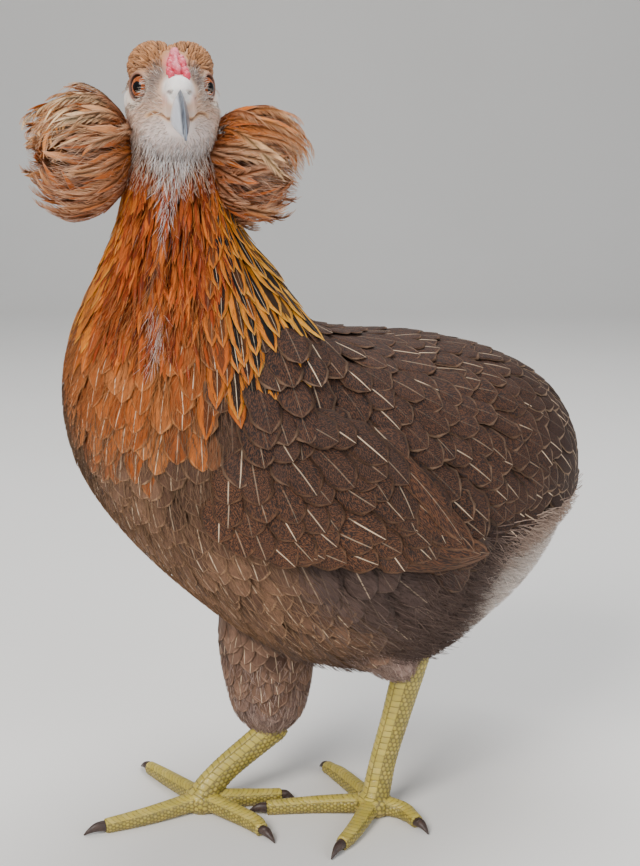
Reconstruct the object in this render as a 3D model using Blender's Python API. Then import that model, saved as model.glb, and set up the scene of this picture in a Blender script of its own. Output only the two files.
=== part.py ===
"""A rumpless, ear-tufted hen of the araucana breed, life size, standing with her head turned to her left.

Run with: blender --background --python part.py. Metres, +Z up. She faces -Y, so her left is +X.
Each part of the body is one closed solid, and a clearance is left where two parts meet.
"""

import math
import random

import bmesh
import bpy
import numpy as np
from mathutils import Matrix

# Driving sizes, in metres and degrees
GAP = 0.0003
NECK_AXIS_FORWARD = 0.065
BODY_AROUND = 24
BODY_ROUNDNESS = 2.25
HEAD_ROUNDNESS = 2.15

# Stations of the skin from rump to beak root. Each is a dorsal point and a ventral point, given as
# forward distance and height, then half the width there, and the turn about the neck's upright axis.
STATIONS = (
    ("rump tip", -0.173, 0.178, -0.173, 0.158, 0.010, 0),
    ("rump", -0.168, 0.197, -0.166, 0.140, 0.028, 0),
    ("saddle rear", -0.156, 0.2165, -0.150, 0.121, 0.046, 0),
    ("saddle", -0.136, 0.2325, -0.128, 0.104, 0.0625, 0),
    ("loin", -0.107, 0.2440, -0.098, 0.088, 0.0755, 0),
    ("mid back", -0.074, 0.2515, -0.062, 0.078, 0.083, 0),
    ("fore back", -0.040, 0.2550, -0.020, 0.080, 0.085, 0),
    ("shoulder", -0.014, 0.260, 0.019, 0.096, 0.082, 0),
    ("breast low", 0.004, 0.267, 0.053, 0.125, 0.0755, 4),
    ("breast", 0.014, 0.276, 0.082, 0.158, 0.0700, 11),
    ("crop low", 0.0225, 0.287, 0.102, 0.191, 0.0620, 21),
    ("crop", 0.0292, 0.299, 0.110, 0.225, 0.0518, 32),
    ("neck base", 0.0348, 0.311, 0.1065, 0.256, 0.0392, 42),
    ("neck low", 0.0376, 0.323, 0.0970, 0.284, 0.0298, 50),
    ("neck mid", 0.0388, 0.336, 0.0890, 0.308, 0.0240, 56),
    ("neck high", 0.0394, 0.350, 0.0850, 0.327, 0.0212, 61),
    ("nape", 0.0395, 0.363, 0.0835, 0.3395, 0.0202, 64),
    ("occiput", 0.042, 0.376, 0.0865, 0.343, 0.0202, 67),
    ("crown rear", 0.051, 0.3855, 0.0895, 0.3455, 0.0206, 69),
    ("crown", 0.0625, 0.3893, 0.092, 0.347, 0.0166, 69.5),
    ("brow", 0.0750, 0.3872, 0.094, 0.3482, 0.0128, 69.5),
    ("forehead", 0.0858, 0.3800, 0.0955, 0.3492, 0.0095, 69.5),
    ("beak root", 0.0955, 0.3725, 0.0965, 0.3510, 0.0066, 69.5),
)
HEAD_TURN = 69.5
NECK_CUT = 10.5
HEAD_CUT = 15.5
LAST = len(STATIONS) - 1


def smooth_table(table, where):
    """Catmull-Rom interpolation of the rows of a table at fractional row numbers."""
    rows = np.asarray(table, float)
    where = np.clip(np.asarray(where, float), 0, len(rows) - 1)
    row = np.minimum(where.astype(int), len(rows) - 2)
    u = (where - row)[..., None]
    before = rows[np.maximum(row - 1, 0)]
    here, there = rows[row], rows[row + 1]
    after = rows[np.minimum(row + 2, len(rows) - 1)]
    return here + 0.5 * u * (there - before + u * (
        2 * before - 5 * here + 4 * there - after + u * (3 * (here - there) + after - before)))


def power(value, roundness):
    return np.sign(value) * np.abs(value) ** (2 / roundness)


def turned(forward, side, height, turn):
    """A point given by forward, left and up distances, turned about the neck's upright axis."""
    ahead = forward - NECK_AXIS_FORWARD
    x = np.sin(turn) * ahead + np.cos(turn) * side
    y = -NECK_AXIS_FORWARD - np.cos(turn) * ahead + np.sin(turn) * side
    return np.stack(np.broadcast_arrays(x, y, height), -1)


def skin(station, angle):
    """The outer surface of the plumage: angle 0 is the back's middle, 90 the left side, 180 the belly."""
    table = [row[1:] for row in STATIONS]
    values = smooth_table(table, station)
    dorsal, ventral = values[..., 0:2], values[..., 2:4]
    half_width, turn = values[..., 4], np.radians(values[..., 5])
    headness = np.clip((np.asarray(station, float) - HEAD_CUT) / 2, 0, 1)
    roundness = BODY_ROUNDNESS + (HEAD_ROUNDNESS - BODY_ROUNDNESS) * headness
    along = power(np.cos(angle), roundness)[..., None]
    middle = (dorsal + ventral) / 2 + along * (dorsal - ventral) / 2
    side = half_width * power(np.sin(angle), roundness)
    return turned(middle[..., 0], side, middle[..., 1], turn)


def skin_normal(station, angle):
    step_s, step_a = 0.02, 0.01
    along = skin(np.minimum(station + step_s, LAST), angle) - skin(np.maximum(station - step_s, 0), angle)
    around = skin(station, angle + step_a) - skin(station, angle - step_a)
    normal = np.cross(along, around)
    return normal / np.maximum(np.linalg.norm(normal, axis=-1, keepdims=True), 1e-12)


def material(name, colour, roughness, metallic=0.0):
    made = bpy.data.materials.new(name)
    made.use_nodes = True
    shader = made.node_tree.nodes["Principled BSDF"]
    shader.inputs["Base Color"].default_value = (*colour, 1)
    shader.inputs["Roughness"].default_value = roughness
    shader.inputs["Metallic"].default_value = metallic
    return made


def loft_mesh(rings, start_pole=None, end_pole=None):
    """A closed tube through rings of points, each end closed by a fan to its pole or to its middle."""
    rings = np.asarray(rings, float)
    count, around = rings.shape[:2]
    poles = [rings[0].mean(0) if start_pole is None else start_pole,
             rings[-1].mean(0) if end_pole is None else end_pole]
    points = np.concatenate([rings.reshape(-1, 3), poles])
    faces = []
    for i in range(count - 1):
        for j in range(around):
            k = (j + 1) % around
            a, b = i * around + j, i * around + k
            c, d = a + around, b + around
            faces += [(a, b, d), (a, d, c)]
    first, last = count * around, (count - 1) * around
    for j in range(around):
        k = (j + 1) % around
        faces += [(k, j, first), (last + j, last + k, first + 1)]
    mesh = bpy.data.meshes.new("loft")
    mesh.from_pydata(points.tolist(), [], faces)
    facing_out(mesh)
    return mesh


def volume(work):
    return sum(f.verts[0].co.dot(f.verts[1].co.cross(f.verts[2].co)) for f in work.faces) / 6


def facing_out(mesh):
    """Turns a closed mesh of triangles the right way out."""
    work = bmesh.new()
    work.from_mesh(mesh)
    bmesh.ops.triangulate(work, faces=work.faces[:])
    bmesh.ops.recalc_face_normals(work, faces=work.faces[:])
    if volume(work) < 0:
        bmesh.ops.reverse_faces(work, faces=work.faces[:])
    work.to_mesh(mesh)
    work.free()


def largest_body(mesh):
    """Keeps only the closed surface that holds the most."""
    work = bmesh.new()
    work.from_mesh(mesh)
    bmesh.ops.triangulate(work, faces=work.faces[:])
    left, groups = set(work.verts), []
    while left:
        group, edge = set(), [left.pop()]
        while edge:
            vert = edge.pop()
            group.add(vert)
            for link in vert.link_edges:
                other = link.other_vert(vert)
                if other in left:
                    left.discard(other)
                    edge.append(other)
        faces = {f for v in group for f in v.link_faces}
        size = abs(sum(f.verts[0].co.dot(f.verts[1].co.cross(f.verts[2].co)) for f in faces))
        groups.append((size, group))
    groups.sort(key=lambda item: item[0])
    for _, group in groups[:-1]:
        bmesh.ops.delete(work, geom=list(group), context="VERTS")
    work.to_mesh(mesh)
    work.free()


def add_object(name, mesh, finish=None, smooth_angle=40):
    made = bpy.data.objects.new(name, mesh)
    bpy.context.scene.collection.objects.link(made)
    mesh.name = name
    if finish:
        mesh.materials.clear()
        mesh.materials.append(finish)
        mesh.shade_smooth()
        mesh.set_sharp_from_angle(angle=math.radians(smooth_angle))
    return made


def boolean(mesh, others, operation, solver="EXACT"):
    """The mesh joined with, or cut by, other closed meshes, with its modifier applied."""
    target = add_object("target", mesh)
    group = bpy.data.collections.new("operands")
    helpers = [bpy.data.objects.new("operand", other) for other in others]
    for helper in helpers:
        group.objects.link(helper)
    modifier = target.modifiers.new("join", "BOOLEAN")
    modifier.operation = operation
    modifier.solver = solver
    modifier.operand_type = "COLLECTION"
    modifier.collection = group
    bpy.context.view_layer.update()
    graph = bpy.context.evaluated_depsgraph_get()
    made = bpy.data.meshes.new_from_object(target.evaluated_get(graph))
    for helper in helpers + [target]:
        bpy.data.objects.remove(helper)
    bpy.data.collections.remove(group)
    largest_body(made)
    return made


def grown(mesh, distance=GAP):
    """A copy of the mesh with each point moved out along its normal."""
    copy = mesh.copy()
    count = len(copy.vertices)
    points, normals = np.empty(count * 3), np.empty(count * 3)
    copy.vertices.foreach_get("co", points)
    copy.vertex_normals.foreach_get("vector", normals)
    copy.vertices.foreach_set("co", points + distance * normals)
    copy.update()
    return copy


def cut_clear(mesh, *others, solver="EXACT"):
    """The mesh with room for the others taken out of it."""
    for other in others:
        mesh = boolean(mesh, [grown(other)], "DIFFERENCE", solver)
    return mesh


def skin_rings(start, end, steps):
    angles = np.linspace(0, 2 * math.pi, BODY_AROUND, endpoint=False)
    return [skin(np.full(BODY_AROUND, s), angles) for s in np.linspace(start, end, steps)]


def head_point(ahead, side, height):
    """A point given from the neck's upright axis along the way that the head faces, in metres."""
    return turned(np.asarray(ahead) + NECK_AXIS_FORWARD, np.asarray(side), np.asarray(height),
                  math.radians(HEAD_TURN))


def shifted_ends(rings, gap):
    """Moves the first ring along its own plane's normal, away from the neighbour that shares the plane."""
    first = np.cross(rings[0][6] - rings[0][0], rings[0][12] - rings[0][0])
    first /= np.linalg.norm(first)
    if np.dot(first, rings[1].mean(0) - rings[0].mean(0)) < 0:
        first = -first
    return [rings[0] + gap * first] + list(rings[1:])


def ball(centre, radii, axes=None, around=12, rows=8):
    """An ellipsoid with its radii along three axes."""
    axes = np.eye(3) if axes is None else np.asarray(axes)
    rings = []
    for row in range(1, rows):
        polar = math.pi * row / rows
        turn = np.linspace(0, 2 * math.pi, around, endpoint=False)
        local = np.stack([math.sin(polar) * np.cos(turn), math.sin(polar) * np.sin(turn),
                          np.full(around, math.cos(polar))], -1)
        rings.append(centre + (local * radii) @ axes)
    poles = [centre + (np.array([0, 0, z]) * radii) @ axes for z in (1, -1)]
    return loft_mesh(rings, poles[0], poles[1])


def limb_rings(path, radii, steps, around, relief=None):
    """Rings of oval section along a smooth path. Radii are given across and up, and relief adds to them."""
    where = np.linspace(0, len(path) - 1, steps)
    centres = smooth_table(path, where)
    widths = smooth_table(radii, where)
    heading = np.gradient(centres, axis=0)
    heading /= np.linalg.norm(heading, axis=1, keepdims=True)
    turn = np.linspace(0, 2 * math.pi, around, endpoint=False) + math.pi / around
    rings = []
    side = np.cross(heading[0], [0, 0, 1.0])
    if np.linalg.norm(side) < 0.3:
        side = np.array([1.0, 0, 0])
    for i in range(steps):
        side = side - np.dot(side, heading[i]) * heading[i]
        side /= np.linalg.norm(side)
        up = np.cross(side, heading[i])
        extra = np.zeros(around) if relief is None else relief(i, turn)
        across = (widths[i, 0] + extra) * np.cos(turn)
        rise = (widths[i, 1] + extra) * np.sin(turn)
        rings.append(centres[i] + across[:, None] * side + rise[:, None] * up)
    return rings


def flattened(rings):
    """Rests whatever reaches below the floor on it, as small flats."""
    for ring in rings:
        ring[:, 2] = np.maximum(ring[:, 2], 0)
    return rings


def tangents(surface, place):
    """The surface's point at a place, and how it moves with each of the place's two numbers."""
    u, v = place
    step_u, step_v = 0.02, 0.02
    point = surface(u, v)
    return (point, (surface(u + step_u, v) - surface(u - step_u, v)) / (2 * step_u),
            (surface(u, v + step_v) - surface(u, v - step_v)) / (2 * step_v))


def beside(surface, place, offset):
    """The place on the surface that lies about an offset vector away from a given place."""
    _, by_u, by_v = tangents(surface, place)
    change = np.linalg.lstsq(np.stack([by_u, by_v], 1), offset, rcond=None)[0]
    return place[0] + change[0], place[1] + change[1]


def vane_mesh(left, top, right, bottom, root, tip):
    """A feather as a thin blade, split into triangles alike on both faces."""
    count = len(left)
    points = np.concatenate([left, top, right, bottom, [root, tip]])
    start, end = 4 * count, 4 * count + 1
    faces = []
    for edge in (0, 2 * count):
        for face in (count, 3 * count):
            for i in range(count - 1):
                faces += [(edge + i, face + i + 1, face + i), (edge + i, edge + i + 1, face + i + 1)]
            faces += [(edge, face, start), (edge + count - 1, face + count - 1, end)]
    mesh = bpy.data.meshes.new("vane")
    mesh.from_pydata(points.tolist(), [], faces)
    facing_out(mesh)
    return mesh


# Feathers: the share of the length that lies in the root, how far the root's point runs back, the tip's
# point as a share of the half width behind it, how far the edges lie below the shaft, and the thickness
ROOT_SHARE = 0.25
ROOT_POINT = 0.0015
TIP_POINT = 0.7
EDGE_SINK = 0.0003
VANE_THICKNESS = 0.0011


def pointed(t):
    """The half width of a hackle feather along its length, as a share of its widest."""
    return np.sin(math.pi * (0.10 + 0.78 * t)) ** 0.85


def rounded(t):
    """The half width of a covert along its length, as a share of its widest."""
    return np.sin(math.pi * (0.11 + 0.71 * t)) ** 0.6


def draped_vane(surface, outward, place, heading, length, half_width, lifts, outline,
                steps=4, tilt=0.0):
    """A feather that lies along a surface from its sunk root, with its tip raised by the lifts."""
    places, middle, across, normals, widths = [], [], [], [], []
    share = np.linspace(0, 1, steps)
    for i, t in enumerate(share):
        point, by_u, by_v = tangents(surface, place)
        normal = np.cross(by_u, by_v) * outward
        normal /= np.linalg.norm(normal)
        way = heading[0] * by_u / np.linalg.norm(by_u) + heading[1] * by_v / np.linalg.norm(by_v)
        way -= np.dot(way, normal) * normal
        way /= np.linalg.norm(way)
        side = np.cross(normal, way)
        places.append(place)
        middle.append(point)
        normals.append(normal)
        across.append(side)
        widths.append(half_width * float(outline(t)))
        last_way = way
        place = beside(surface, place, way * length / (steps - 1))
    middle, normals = np.array(middle), np.array(normals)
    lift = np.interp(share, (0, ROOT_SHARE, 1), lifts)[:, None] * normals
    edges = []
    for sign in (-1, 1):
        edge = [surface(*beside(surface, places[i], sign * widths[i] * across[i])) for i in range(steps)]
        lean = (sign * tilt * np.minimum(1, share / ROOT_SHARE))[:, None] * normals
        edges.append(np.array(edge) + lift + lean - EDGE_SINK * normals)
    half = 0.5 * VANE_THICKNESS * normals
    centre = middle + lift
    root = centre[0] - ROOT_POINT * (centre[1] - centre[0]) / np.linalg.norm(centre[1] - centre[0])
    tip = centre[-1] + TIP_POINT * widths[-1] * last_way
    return vane_mesh(edges[0], centre + half, edges[1], centre - half, root, tip)


def torso_mesh():
    return loft_mesh(skin_rings(0, NECK_CUT, 21))


# Rows of hackle and front-neck feathers: station of the roots, how many round the neck, their length
# behind and in front, half their width, and the share of a space that the row is turned by
HACKLE_ROWS = ((15.3, 9, 0.030, 0.024, 0.0064, 0.0), (14.1, 10, 0.042, 0.033, 0.0076, 0.5),
               (12.85, 11, 0.050, 0.040, 0.0100, 0.0), (11.6, 13, 0.056, 0.042, 0.0112, 0.5))
HACKLE_TILT = 0.0009
HACKLE_LIFT = (-0.0016, 0.0002, 0.0030)


def neck_mesh(torso):
    rng = random.Random(11)
    feathers = []
    for station, count, behind, front, half_width, turned_by in HACKLE_ROWS:
        for i in range(count):
            angle = 2 * math.pi * (i + turned_by) / count
            back = 0.5 + 0.5 * math.cos(angle)
            length = (front + (behind - front) * back) * rng.uniform(0.93, 1.07)
            heading = (-1.0, rng.uniform(-0.06, 0.06))
            outline = pointed if back > 0.25 else rounded
            feathers.append(draped_vane(skin, 1, (station, angle), heading, length, half_width,
                                        HACKLE_LIFT, outline, tilt=HACKLE_TILT))
    core = loft_mesh(shifted_ends(skin_rings(NECK_CUT, HEAD_CUT, 7), GAP))
    return cut_clear(boolean(core, feathers, "UNION"), torso)


# Eyes, in the head's own directions
EYE_AHEAD, EYE_SIDE, EYE_HEIGHT = 0.0056, 0.0117, 0.3713
EYE_RADIUS = 0.0070
EYE_OUTWARD = 58
LID_RING, LID_BAR, LID_OUT = 0.0061, 0.0010, 0.0047


def eye_place(side):
    """The eyeball's centre, and the unit vector that it looks along."""
    centre = head_point(EYE_AHEAD, side * EYE_SIDE, EYE_HEIGHT)
    turn = math.radians(EYE_OUTWARD)
    ahead = head_point(1, 0, 0) - head_point(0, 0, 0)
    left = head_point(0, 1, 0) - head_point(0, 0, 0)
    return centre, math.cos(turn) * ahead + side * math.sin(turn) * left


def frame_along(look):
    """Two unit vectors across a given one: level, and upright."""
    level = np.cross([0, 0, 1.0], look)
    level /= np.linalg.norm(level)
    return level, np.cross(look, level)


def eye_mesh(side):
    centre, look = eye_place(side)
    level, upright = frame_along(look)
    return ball(centre, (EYE_RADIUS,) * 3, (level, upright, look), 12, 7)


def ring_mesh(centre, look, radius, bar, around=12, section=4):
    """A ring round an axis, such as the two lids of an eye."""
    level, upright = frame_along(look)
    turn = np.linspace(0, 2 * math.pi, around, endpoint=False)
    points, faces = [], []
    for angle in turn:
        outward = math.cos(angle) * level + math.sin(angle) * upright
        for k in range(section):
            part = 2 * math.pi * k / section
            points.append(centre + (radius + bar * math.cos(part)) * outward + bar * math.sin(part) * look)
    for i in range(around):
        for k in range(section):
            a, b = i * section + k, i * section + (k + 1) % section
            c = (i + 1) % around * section + k
            d = (i + 1) % around * section + (k + 1) % section
            faces += [(a, c, d), (a, d, b)]
    mesh = bpy.data.meshes.new("ring")
    mesh.from_pydata([tuple(p) for p in points], [], faces)
    facing_out(mesh)
    return mesh


# The mouth runs from its corner under the eye to the beak's tip, down a straight slope
MOUTH_CORNER = (0.0208, 0.3592)
BEAK_ROOT = 0.0310
BEAK_TIP = (0.0508, 0.3483)
MOUTH_OPEN = 0.0006


def mouth_height(ahead):
    (start, high), (end, low) = MOUTH_CORNER, BEAK_TIP
    return high + (ahead - start) / (end - start) * (low + 0.0014 - high)


def mouth_slit():
    """A thin wedge that parts the jaws from the corner of the mouth forward."""
    points = []
    for ahead in (MOUTH_CORNER[0], BEAK_ROOT + 0.004):
        for side in (-0.02, 0.02):
            for lift in (-0.5, 0.5):
                points.append(head_point(ahead, side, mouth_height(ahead) + lift * MOUTH_OPEN))
    work = bmesh.new()
    verts = [work.verts.new(p) for p in points]
    bmesh.ops.convex_hull(work, input=verts)
    mesh = bpy.data.meshes.new("slit")
    work.to_mesh(mesh)
    work.free()
    facing_out(mesh)
    return mesh


CROWN_LOBE = (-0.0030, 0.0070, 0.3806)
CROWN_LOBE_RADII = (0.0138, 0.0118, 0.0108)
EARLOBE = (-0.0020, 0.0198, 0.3655)
EARLOBE_RADII = (0.0032, 0.0021, 0.0048)
CERE = (0.0285, 0.0, 0.3690)
CERE_RADII = (0.0068, 0.0078, 0.0064)
NOSTRIL = (0.0330, 0.0050, 0.3672)
NOSTRIL_RADII = (0.0022, 0.0013, 0.0009)


def head_axes():
    ahead = head_point(1, 0, 0) - head_point(0, 0, 0)
    left = head_point(0, 1, 0) - head_point(0, 0, 0)
    return np.stack([ahead, left, np.array([0, 0, 1.0])])


def head_mesh():
    head = loft_mesh(shifted_ends(skin_rings(HEAD_CUT, LAST, 10), GAP))
    added, cutters = [], []
    for side in (-1, 1):
        lobe = head_point(CROWN_LOBE[0], side * CROWN_LOBE[1], CROWN_LOBE[2])
        added.append(ball(lobe, CROWN_LOBE_RADII, head_axes(), 10, 6))
        ear = head_point(EARLOBE[0], side * EARLOBE[1], EARLOBE[2])
        added.append(ball(ear, EARLOBE_RADII, head_axes(), 8, 6))
        centre, look = eye_place(side)
        added.append(ring_mesh(centre + LID_OUT * look, look, LID_RING, LID_BAR))
        cutters.append(ball(centre, (EYE_RADIUS + GAP,) * 3, (*frame_along(look), look), 12, 7))
        cutters.append(ball(head_point(NOSTRIL[0], side * NOSTRIL[1], NOSTRIL[2]), NOSTRIL_RADII,
                            head_axes(), 8, 6))
    added.append(ball(head_point(*CERE), CERE_RADII, head_axes(), 12, 6))
    head = boolean(head, added, "UNION")
    head = boolean(head, cutters, "DIFFERENCE")
    return boolean(head, [mouth_slit()], "DIFFERENCE")


# The upper beak's sections: distance ahead, top, then half the width
UPPER_BEAK = ((0.0310, 0.3705, 0.0047), (0.0352, 0.3683, 0.0043), (0.0395, 0.3655, 0.0038),
              (0.0435, 0.3620, 0.0032), (0.0470, 0.3576, 0.0025), (0.0494, 0.3530, 0.0015))
LOWER_BEAK = ((0.0310, 0.3510, 0.0046), (0.0360, 0.3500, 0.0039), (0.0405, 0.3492, 0.0031),
              (0.0440, 0.3488, 0.0022), (0.0462, 0.3485, 0.0013))


def beak_rings(sections, upper):
    rings = []
    turn = np.linspace(0, math.pi, 7)
    for ahead, height, half in sections:
        floor = mouth_height(ahead) + (0.5 if upper else -0.5) * MOUTH_OPEN
        arch = [head_point(ahead, half * power(math.cos(t), 2.2), floor + (height - floor) * math.sin(t) ** 0.9)
                for t in turn]
        base = [head_point(ahead, half * f, floor) for f in (-0.5, 0, 0.5)]
        rings.append(np.array(arch + base))
    return rings


def beak_upper_mesh(head):
    rings = beak_rings(UPPER_BEAK, True)
    beak = loft_mesh(rings, end_pole=head_point(*(BEAK_TIP[0], 0, BEAK_TIP[1])))
    return cut_clear(beak, head)


def beak_lower_mesh(head):
    return cut_clear(loft_mesh(beak_rings(LOWER_BEAK, False)), head)


# The pea comb: three rows of low bumps down the forehead, the middle row highest.
# Each row: its side, the bumps' radius, how many, and where it starts and ends
COMB_ROWS = ((-0.0031, 0.0023, 3, 0.26, 1.0), (0.0, 0.0028, 4, 0.0, 0.86), (0.0031, 0.0022, 3, 0.22, 1.05))
COMB_START, COMB_END = (0.0140, 0.3848), (0.0262, 0.3762)


def comb_mesh(head, beak):
    rng = random.Random(3)
    bumps = []
    for side, radius, count, first, last in COMB_ROWS:
        for i in range(count):
            t = first + (last - first) * i / (count - 1)
            ahead = COMB_START[0] + t * (COMB_END[0] - COMB_START[0])
            height = COMB_START[1] + t * (COMB_END[1] - COMB_START[1]) - abs(side) * 0.2
            size = radius * rng.uniform(0.88, 1.12)
            bumps.append(ball(head_point(ahead, side * rng.uniform(0.8, 1.2), height),
                              (size * 1.3, size, size * 1.2), head_axes(), 5, 4))
    comb = boolean(bumps[0], bumps[1:], "UNION")
    return cut_clear(comb, head, beak, solver="MANIFOLD")


# Wings: fractional station and angle of the upper and the lower edge, from shoulder to tip
WING_UPPER = ((10.3, 100), (9.2, 79), (7.9, 67), (6.8, 73), (5.9, 86), (5.15, 92))
WING_LOWER = ((10.3, 131), (9.2, 137), (8.0, 115), (6.9, 102), (5.9, 98), (5.15, 96))
WING_PROUD = (0.0004, 0.0030, 0.0060, 0.0064, 0.0052, 0.0022)
WING_SUNK = 0.009


def wing_surface(along, down, side, lift=0.0):
    """A point of the folded wing's outer face: along from shoulder to tip, down from upper to lower edge."""
    along, down = np.broadcast_arrays(np.asarray(along, float), np.asarray(down, float))
    where = along * (len(WING_UPPER) - 1)
    upper, lower = smooth_table(WING_UPPER, where), smooth_table(WING_LOWER, where)
    place = upper + down[..., None] * (lower - upper)
    station, angle = place[..., 0], side * np.radians(place[..., 1])
    crown = 0.45 + 0.55 * np.sin(np.pi * np.clip(down, 0, 1) * 0.85 + 0.15)
    proud = smooth_table(np.array(WING_PROUD)[:, None], where)[..., 0] * crown + lift
    return skin(station, angle) + proud[..., None] * skin_normal(station, angle)


# Tiers of wing feathers: where the roots are, where the tips are, and how many
COVERT_TIERS = ((0.05, 0.29, 3), (0.19, 0.44, 4), (0.34, 0.61, 4))
COVERT_LIFTS = (-0.0014, 0.0002, 0.0028)
COVERT_SPREAD = 0.50
FLIGHT_ROOT, FLIGHT_COUNT = 0.46, 5
FLIGHT_TIPS = (0.80, 0.99)
FLIGHT_LIFTS = (-0.0014, 0.0001, 0.0010)
FLIGHT_SPREAD, FLIGHT_TILT = 0.58, 0.0009
WIDEST_ALONG = 0.62


def wing_depth(along):
    """The distance from the wing's upper to its lower edge."""
    return np.linalg.norm(wing_surface(along, 1.0, 1) - wing_surface(along, 0.0, 1))


def wing_length(start, end):
    points = wing_surface(np.linspace(start, end, 9), 0.5, 1)
    return np.linalg.norm(np.diff(points, axis=0), axis=1).sum()


def wing_feathers(side):
    def surface(along, down):
        return wing_surface(along, down, side)
    feathers = []
    widest = wing_depth(WIDEST_ALONG)
    for k in range(FLIGHT_COUNT):
        down = (k + 0.5) / FLIGHT_COUNT
        end = FLIGHT_TIPS[0] + (FLIGHT_TIPS[1] - FLIGHT_TIPS[0]) * k / (FLIGHT_COUNT - 1)

        def narrowing(t, end=end):
            along = FLIGHT_ROOT + t * (end - FLIGHT_ROOT)
            return min(1.0, wing_depth(along) / widest) * (1 if t < 0.9 else 0.7)
        feathers.append(draped_vane(surface, -side, (FLIGHT_ROOT, down), (1, 0), wing_length(FLIGHT_ROOT, end),
                                    FLIGHT_SPREAD * widest / FLIGHT_COUNT, FLIGHT_LIFTS, narrowing,
                                    tilt=FLIGHT_TILT))
    for start, end, count in COVERT_TIERS:
        half_width = COVERT_SPREAD * wing_depth((start + end) / 2) / count
        for j in range(count):
            feathers.append(draped_vane(surface, -side, (start, (j + 0.5) / count), (1, 0),
                                        wing_length(start, end), half_width, COVERT_LIFTS, rounded))
    return feathers


def wing_mesh(side, *neighbours):
    rings = []
    down = np.linspace(0, 1, 6)
    for along in np.linspace(0, 1, 10):
        outer = wing_surface(np.full(6, along), down, side)
        inner = wing_surface(np.full(4, along), down[1:-1], side, -WING_SUNK)
        rings.append(np.concatenate([outer, inner[::-1]]))
    wing = boolean(loft_mesh(rings), wing_feathers(side), "UNION")
    return cut_clear(wing, *neighbours)


# Legs: points as left, forward, up
THIGH_LEFT = ((0.036, -0.010, 0.122), (0.038, -0.021, 0.108), (0.039, -0.031, 0.096),
              (0.0395, -0.038, 0.0855), (0.0395, -0.042, 0.0775))
THIGH_LEFT_RADII = ((0.027, 0.027), (0.021, 0.021), (0.0155, 0.0155), (0.0108, 0.0110), (0.004, 0.004))
THIGH_RIGHT = ((-0.030, 0.000, 0.114), (-0.028, 0.001, 0.092), (-0.0255, 0.002, 0.073),
               (-0.023, 0.003, 0.057), (-0.021, 0.004, 0.045), (-0.0195, 0.005, 0.0355))
THIGH_RIGHT_RADII = ((0.028, 0.028), (0.0255, 0.0255), (0.0235, 0.0235), (0.0205, 0.0205),
                     (0.0160, 0.0160), (0.006, 0.006))
SHANK_LEFT = ((0.0405, -0.0480, 0.092), (0.0400, -0.0457, 0.0842), (0.0350, -0.0402, 0.0541),
              (0.0315, -0.0350, 0.030), (0.0310, -0.0310, 0.0125), (0.0313, -0.0285, 0.006))
SHANK_RIGHT = ((-0.0190, 0.0010, 0.0400), (-0.0192, 0.0040, 0.0370), (-0.0200, 0.0099, 0.0322),
               (-0.0212, 0.0299, 0.0207), (-0.0217, 0.0410, 0.0122), (-0.0217, 0.0450, 0.0085))
SHANK_RADII = ((0.0078, 0.0088), (0.0080, 0.0090), (0.0067, 0.0078), (0.0063, 0.0073),
               (0.0068, 0.0076), (0.0068, 0.0072))
HUBS = {"left": (0.0313, -0.0285, 0.0056), "right": (-0.0217, 0.0450, 0.0056)}
HUB_RADII = (0.0098, 0.0105, 0.0078)
TOES = {
    "left": (((-0.0037, -0.0329), (-0.0203, -0.0332)), ((0.0146, -0.0046), (0.0018, 0.0194)),
             ((0.0470, -0.0061), (0.0541, 0.0067)), ((0.0441, -0.0381), (0.0570, -0.0383))),
    "right": (((-0.0120, 0.0220), (-0.0060, 0.0060)), ((0.0098, 0.0344), (0.0203, 0.0333)),
              ((-0.0235, 0.0760), (-0.0270, 0.0990)), ((-0.0555, 0.0490), (-0.0739, 0.0511))),
}
TOE_RADII = ((0.0050, 0.0052), (0.0042, 0.0046), (0.0034, 0.0038))
CLAW_LENGTH = (0.0085, 0.0115, 0.0125, 0.0105)
SCUTE_STEP = 0.0004


def placed(points):
    """Left, forward and up distances as points."""
    return [np.array([x, -forward, z]) for x, forward, z in points]


def scutes(ring, turn):
    """Raised plates down the front of a leg or the top of a toe, each with a step at its lower edge."""
    return (SCUTE_STEP if ring % 2 else 0) * np.clip(np.sin(turn), 0, 1) ** 0.5


def thigh_mesh(name, torso):
    path, radii = (THIGH_LEFT, THIGH_LEFT_RADII) if name == "left" else (THIGH_RIGHT, THIGH_RIGHT_RADII)
    return cut_clear(loft_mesh(limb_rings(placed(path), radii, 10, 14)), torso)


def shank_mesh(name, *neighbours):
    path = SHANK_LEFT if name == "left" else SHANK_RIGHT
    rings = limb_rings(placed(path), SHANK_RADII, 20, 10, scutes)
    return cut_clear(loft_mesh(flattened(rings)), *neighbours)


def foot_mesh(name):
    centre = placed([HUBS[name]])[0]
    foot = ball(centre, HUB_RADII, None, 12, 6)
    points = np.empty(len(foot.vertices) * 3)
    foot.vertices.foreach_get("co", points)
    points[2::3] = np.maximum(points[2::3], 0)
    foot.vertices.foreach_set("co", points)
    return foot


def toe_path(name, digit):
    hub = HUBS[name]
    middle, end = TOES[name][digit]
    rise = [radius[1] - 0.0004 for radius in TOE_RADII]
    return placed([(hub[0], hub[1], rise[0] + 0.0010), (*middle, rise[1]), (*end, rise[2])])


def toe_mesh(name, digit, *neighbours):
    rings = limb_rings(toe_path(name, digit), TOE_RADII, 9, 8, scutes)
    return cut_clear(loft_mesh(flattened(rings)), *neighbours)


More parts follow.
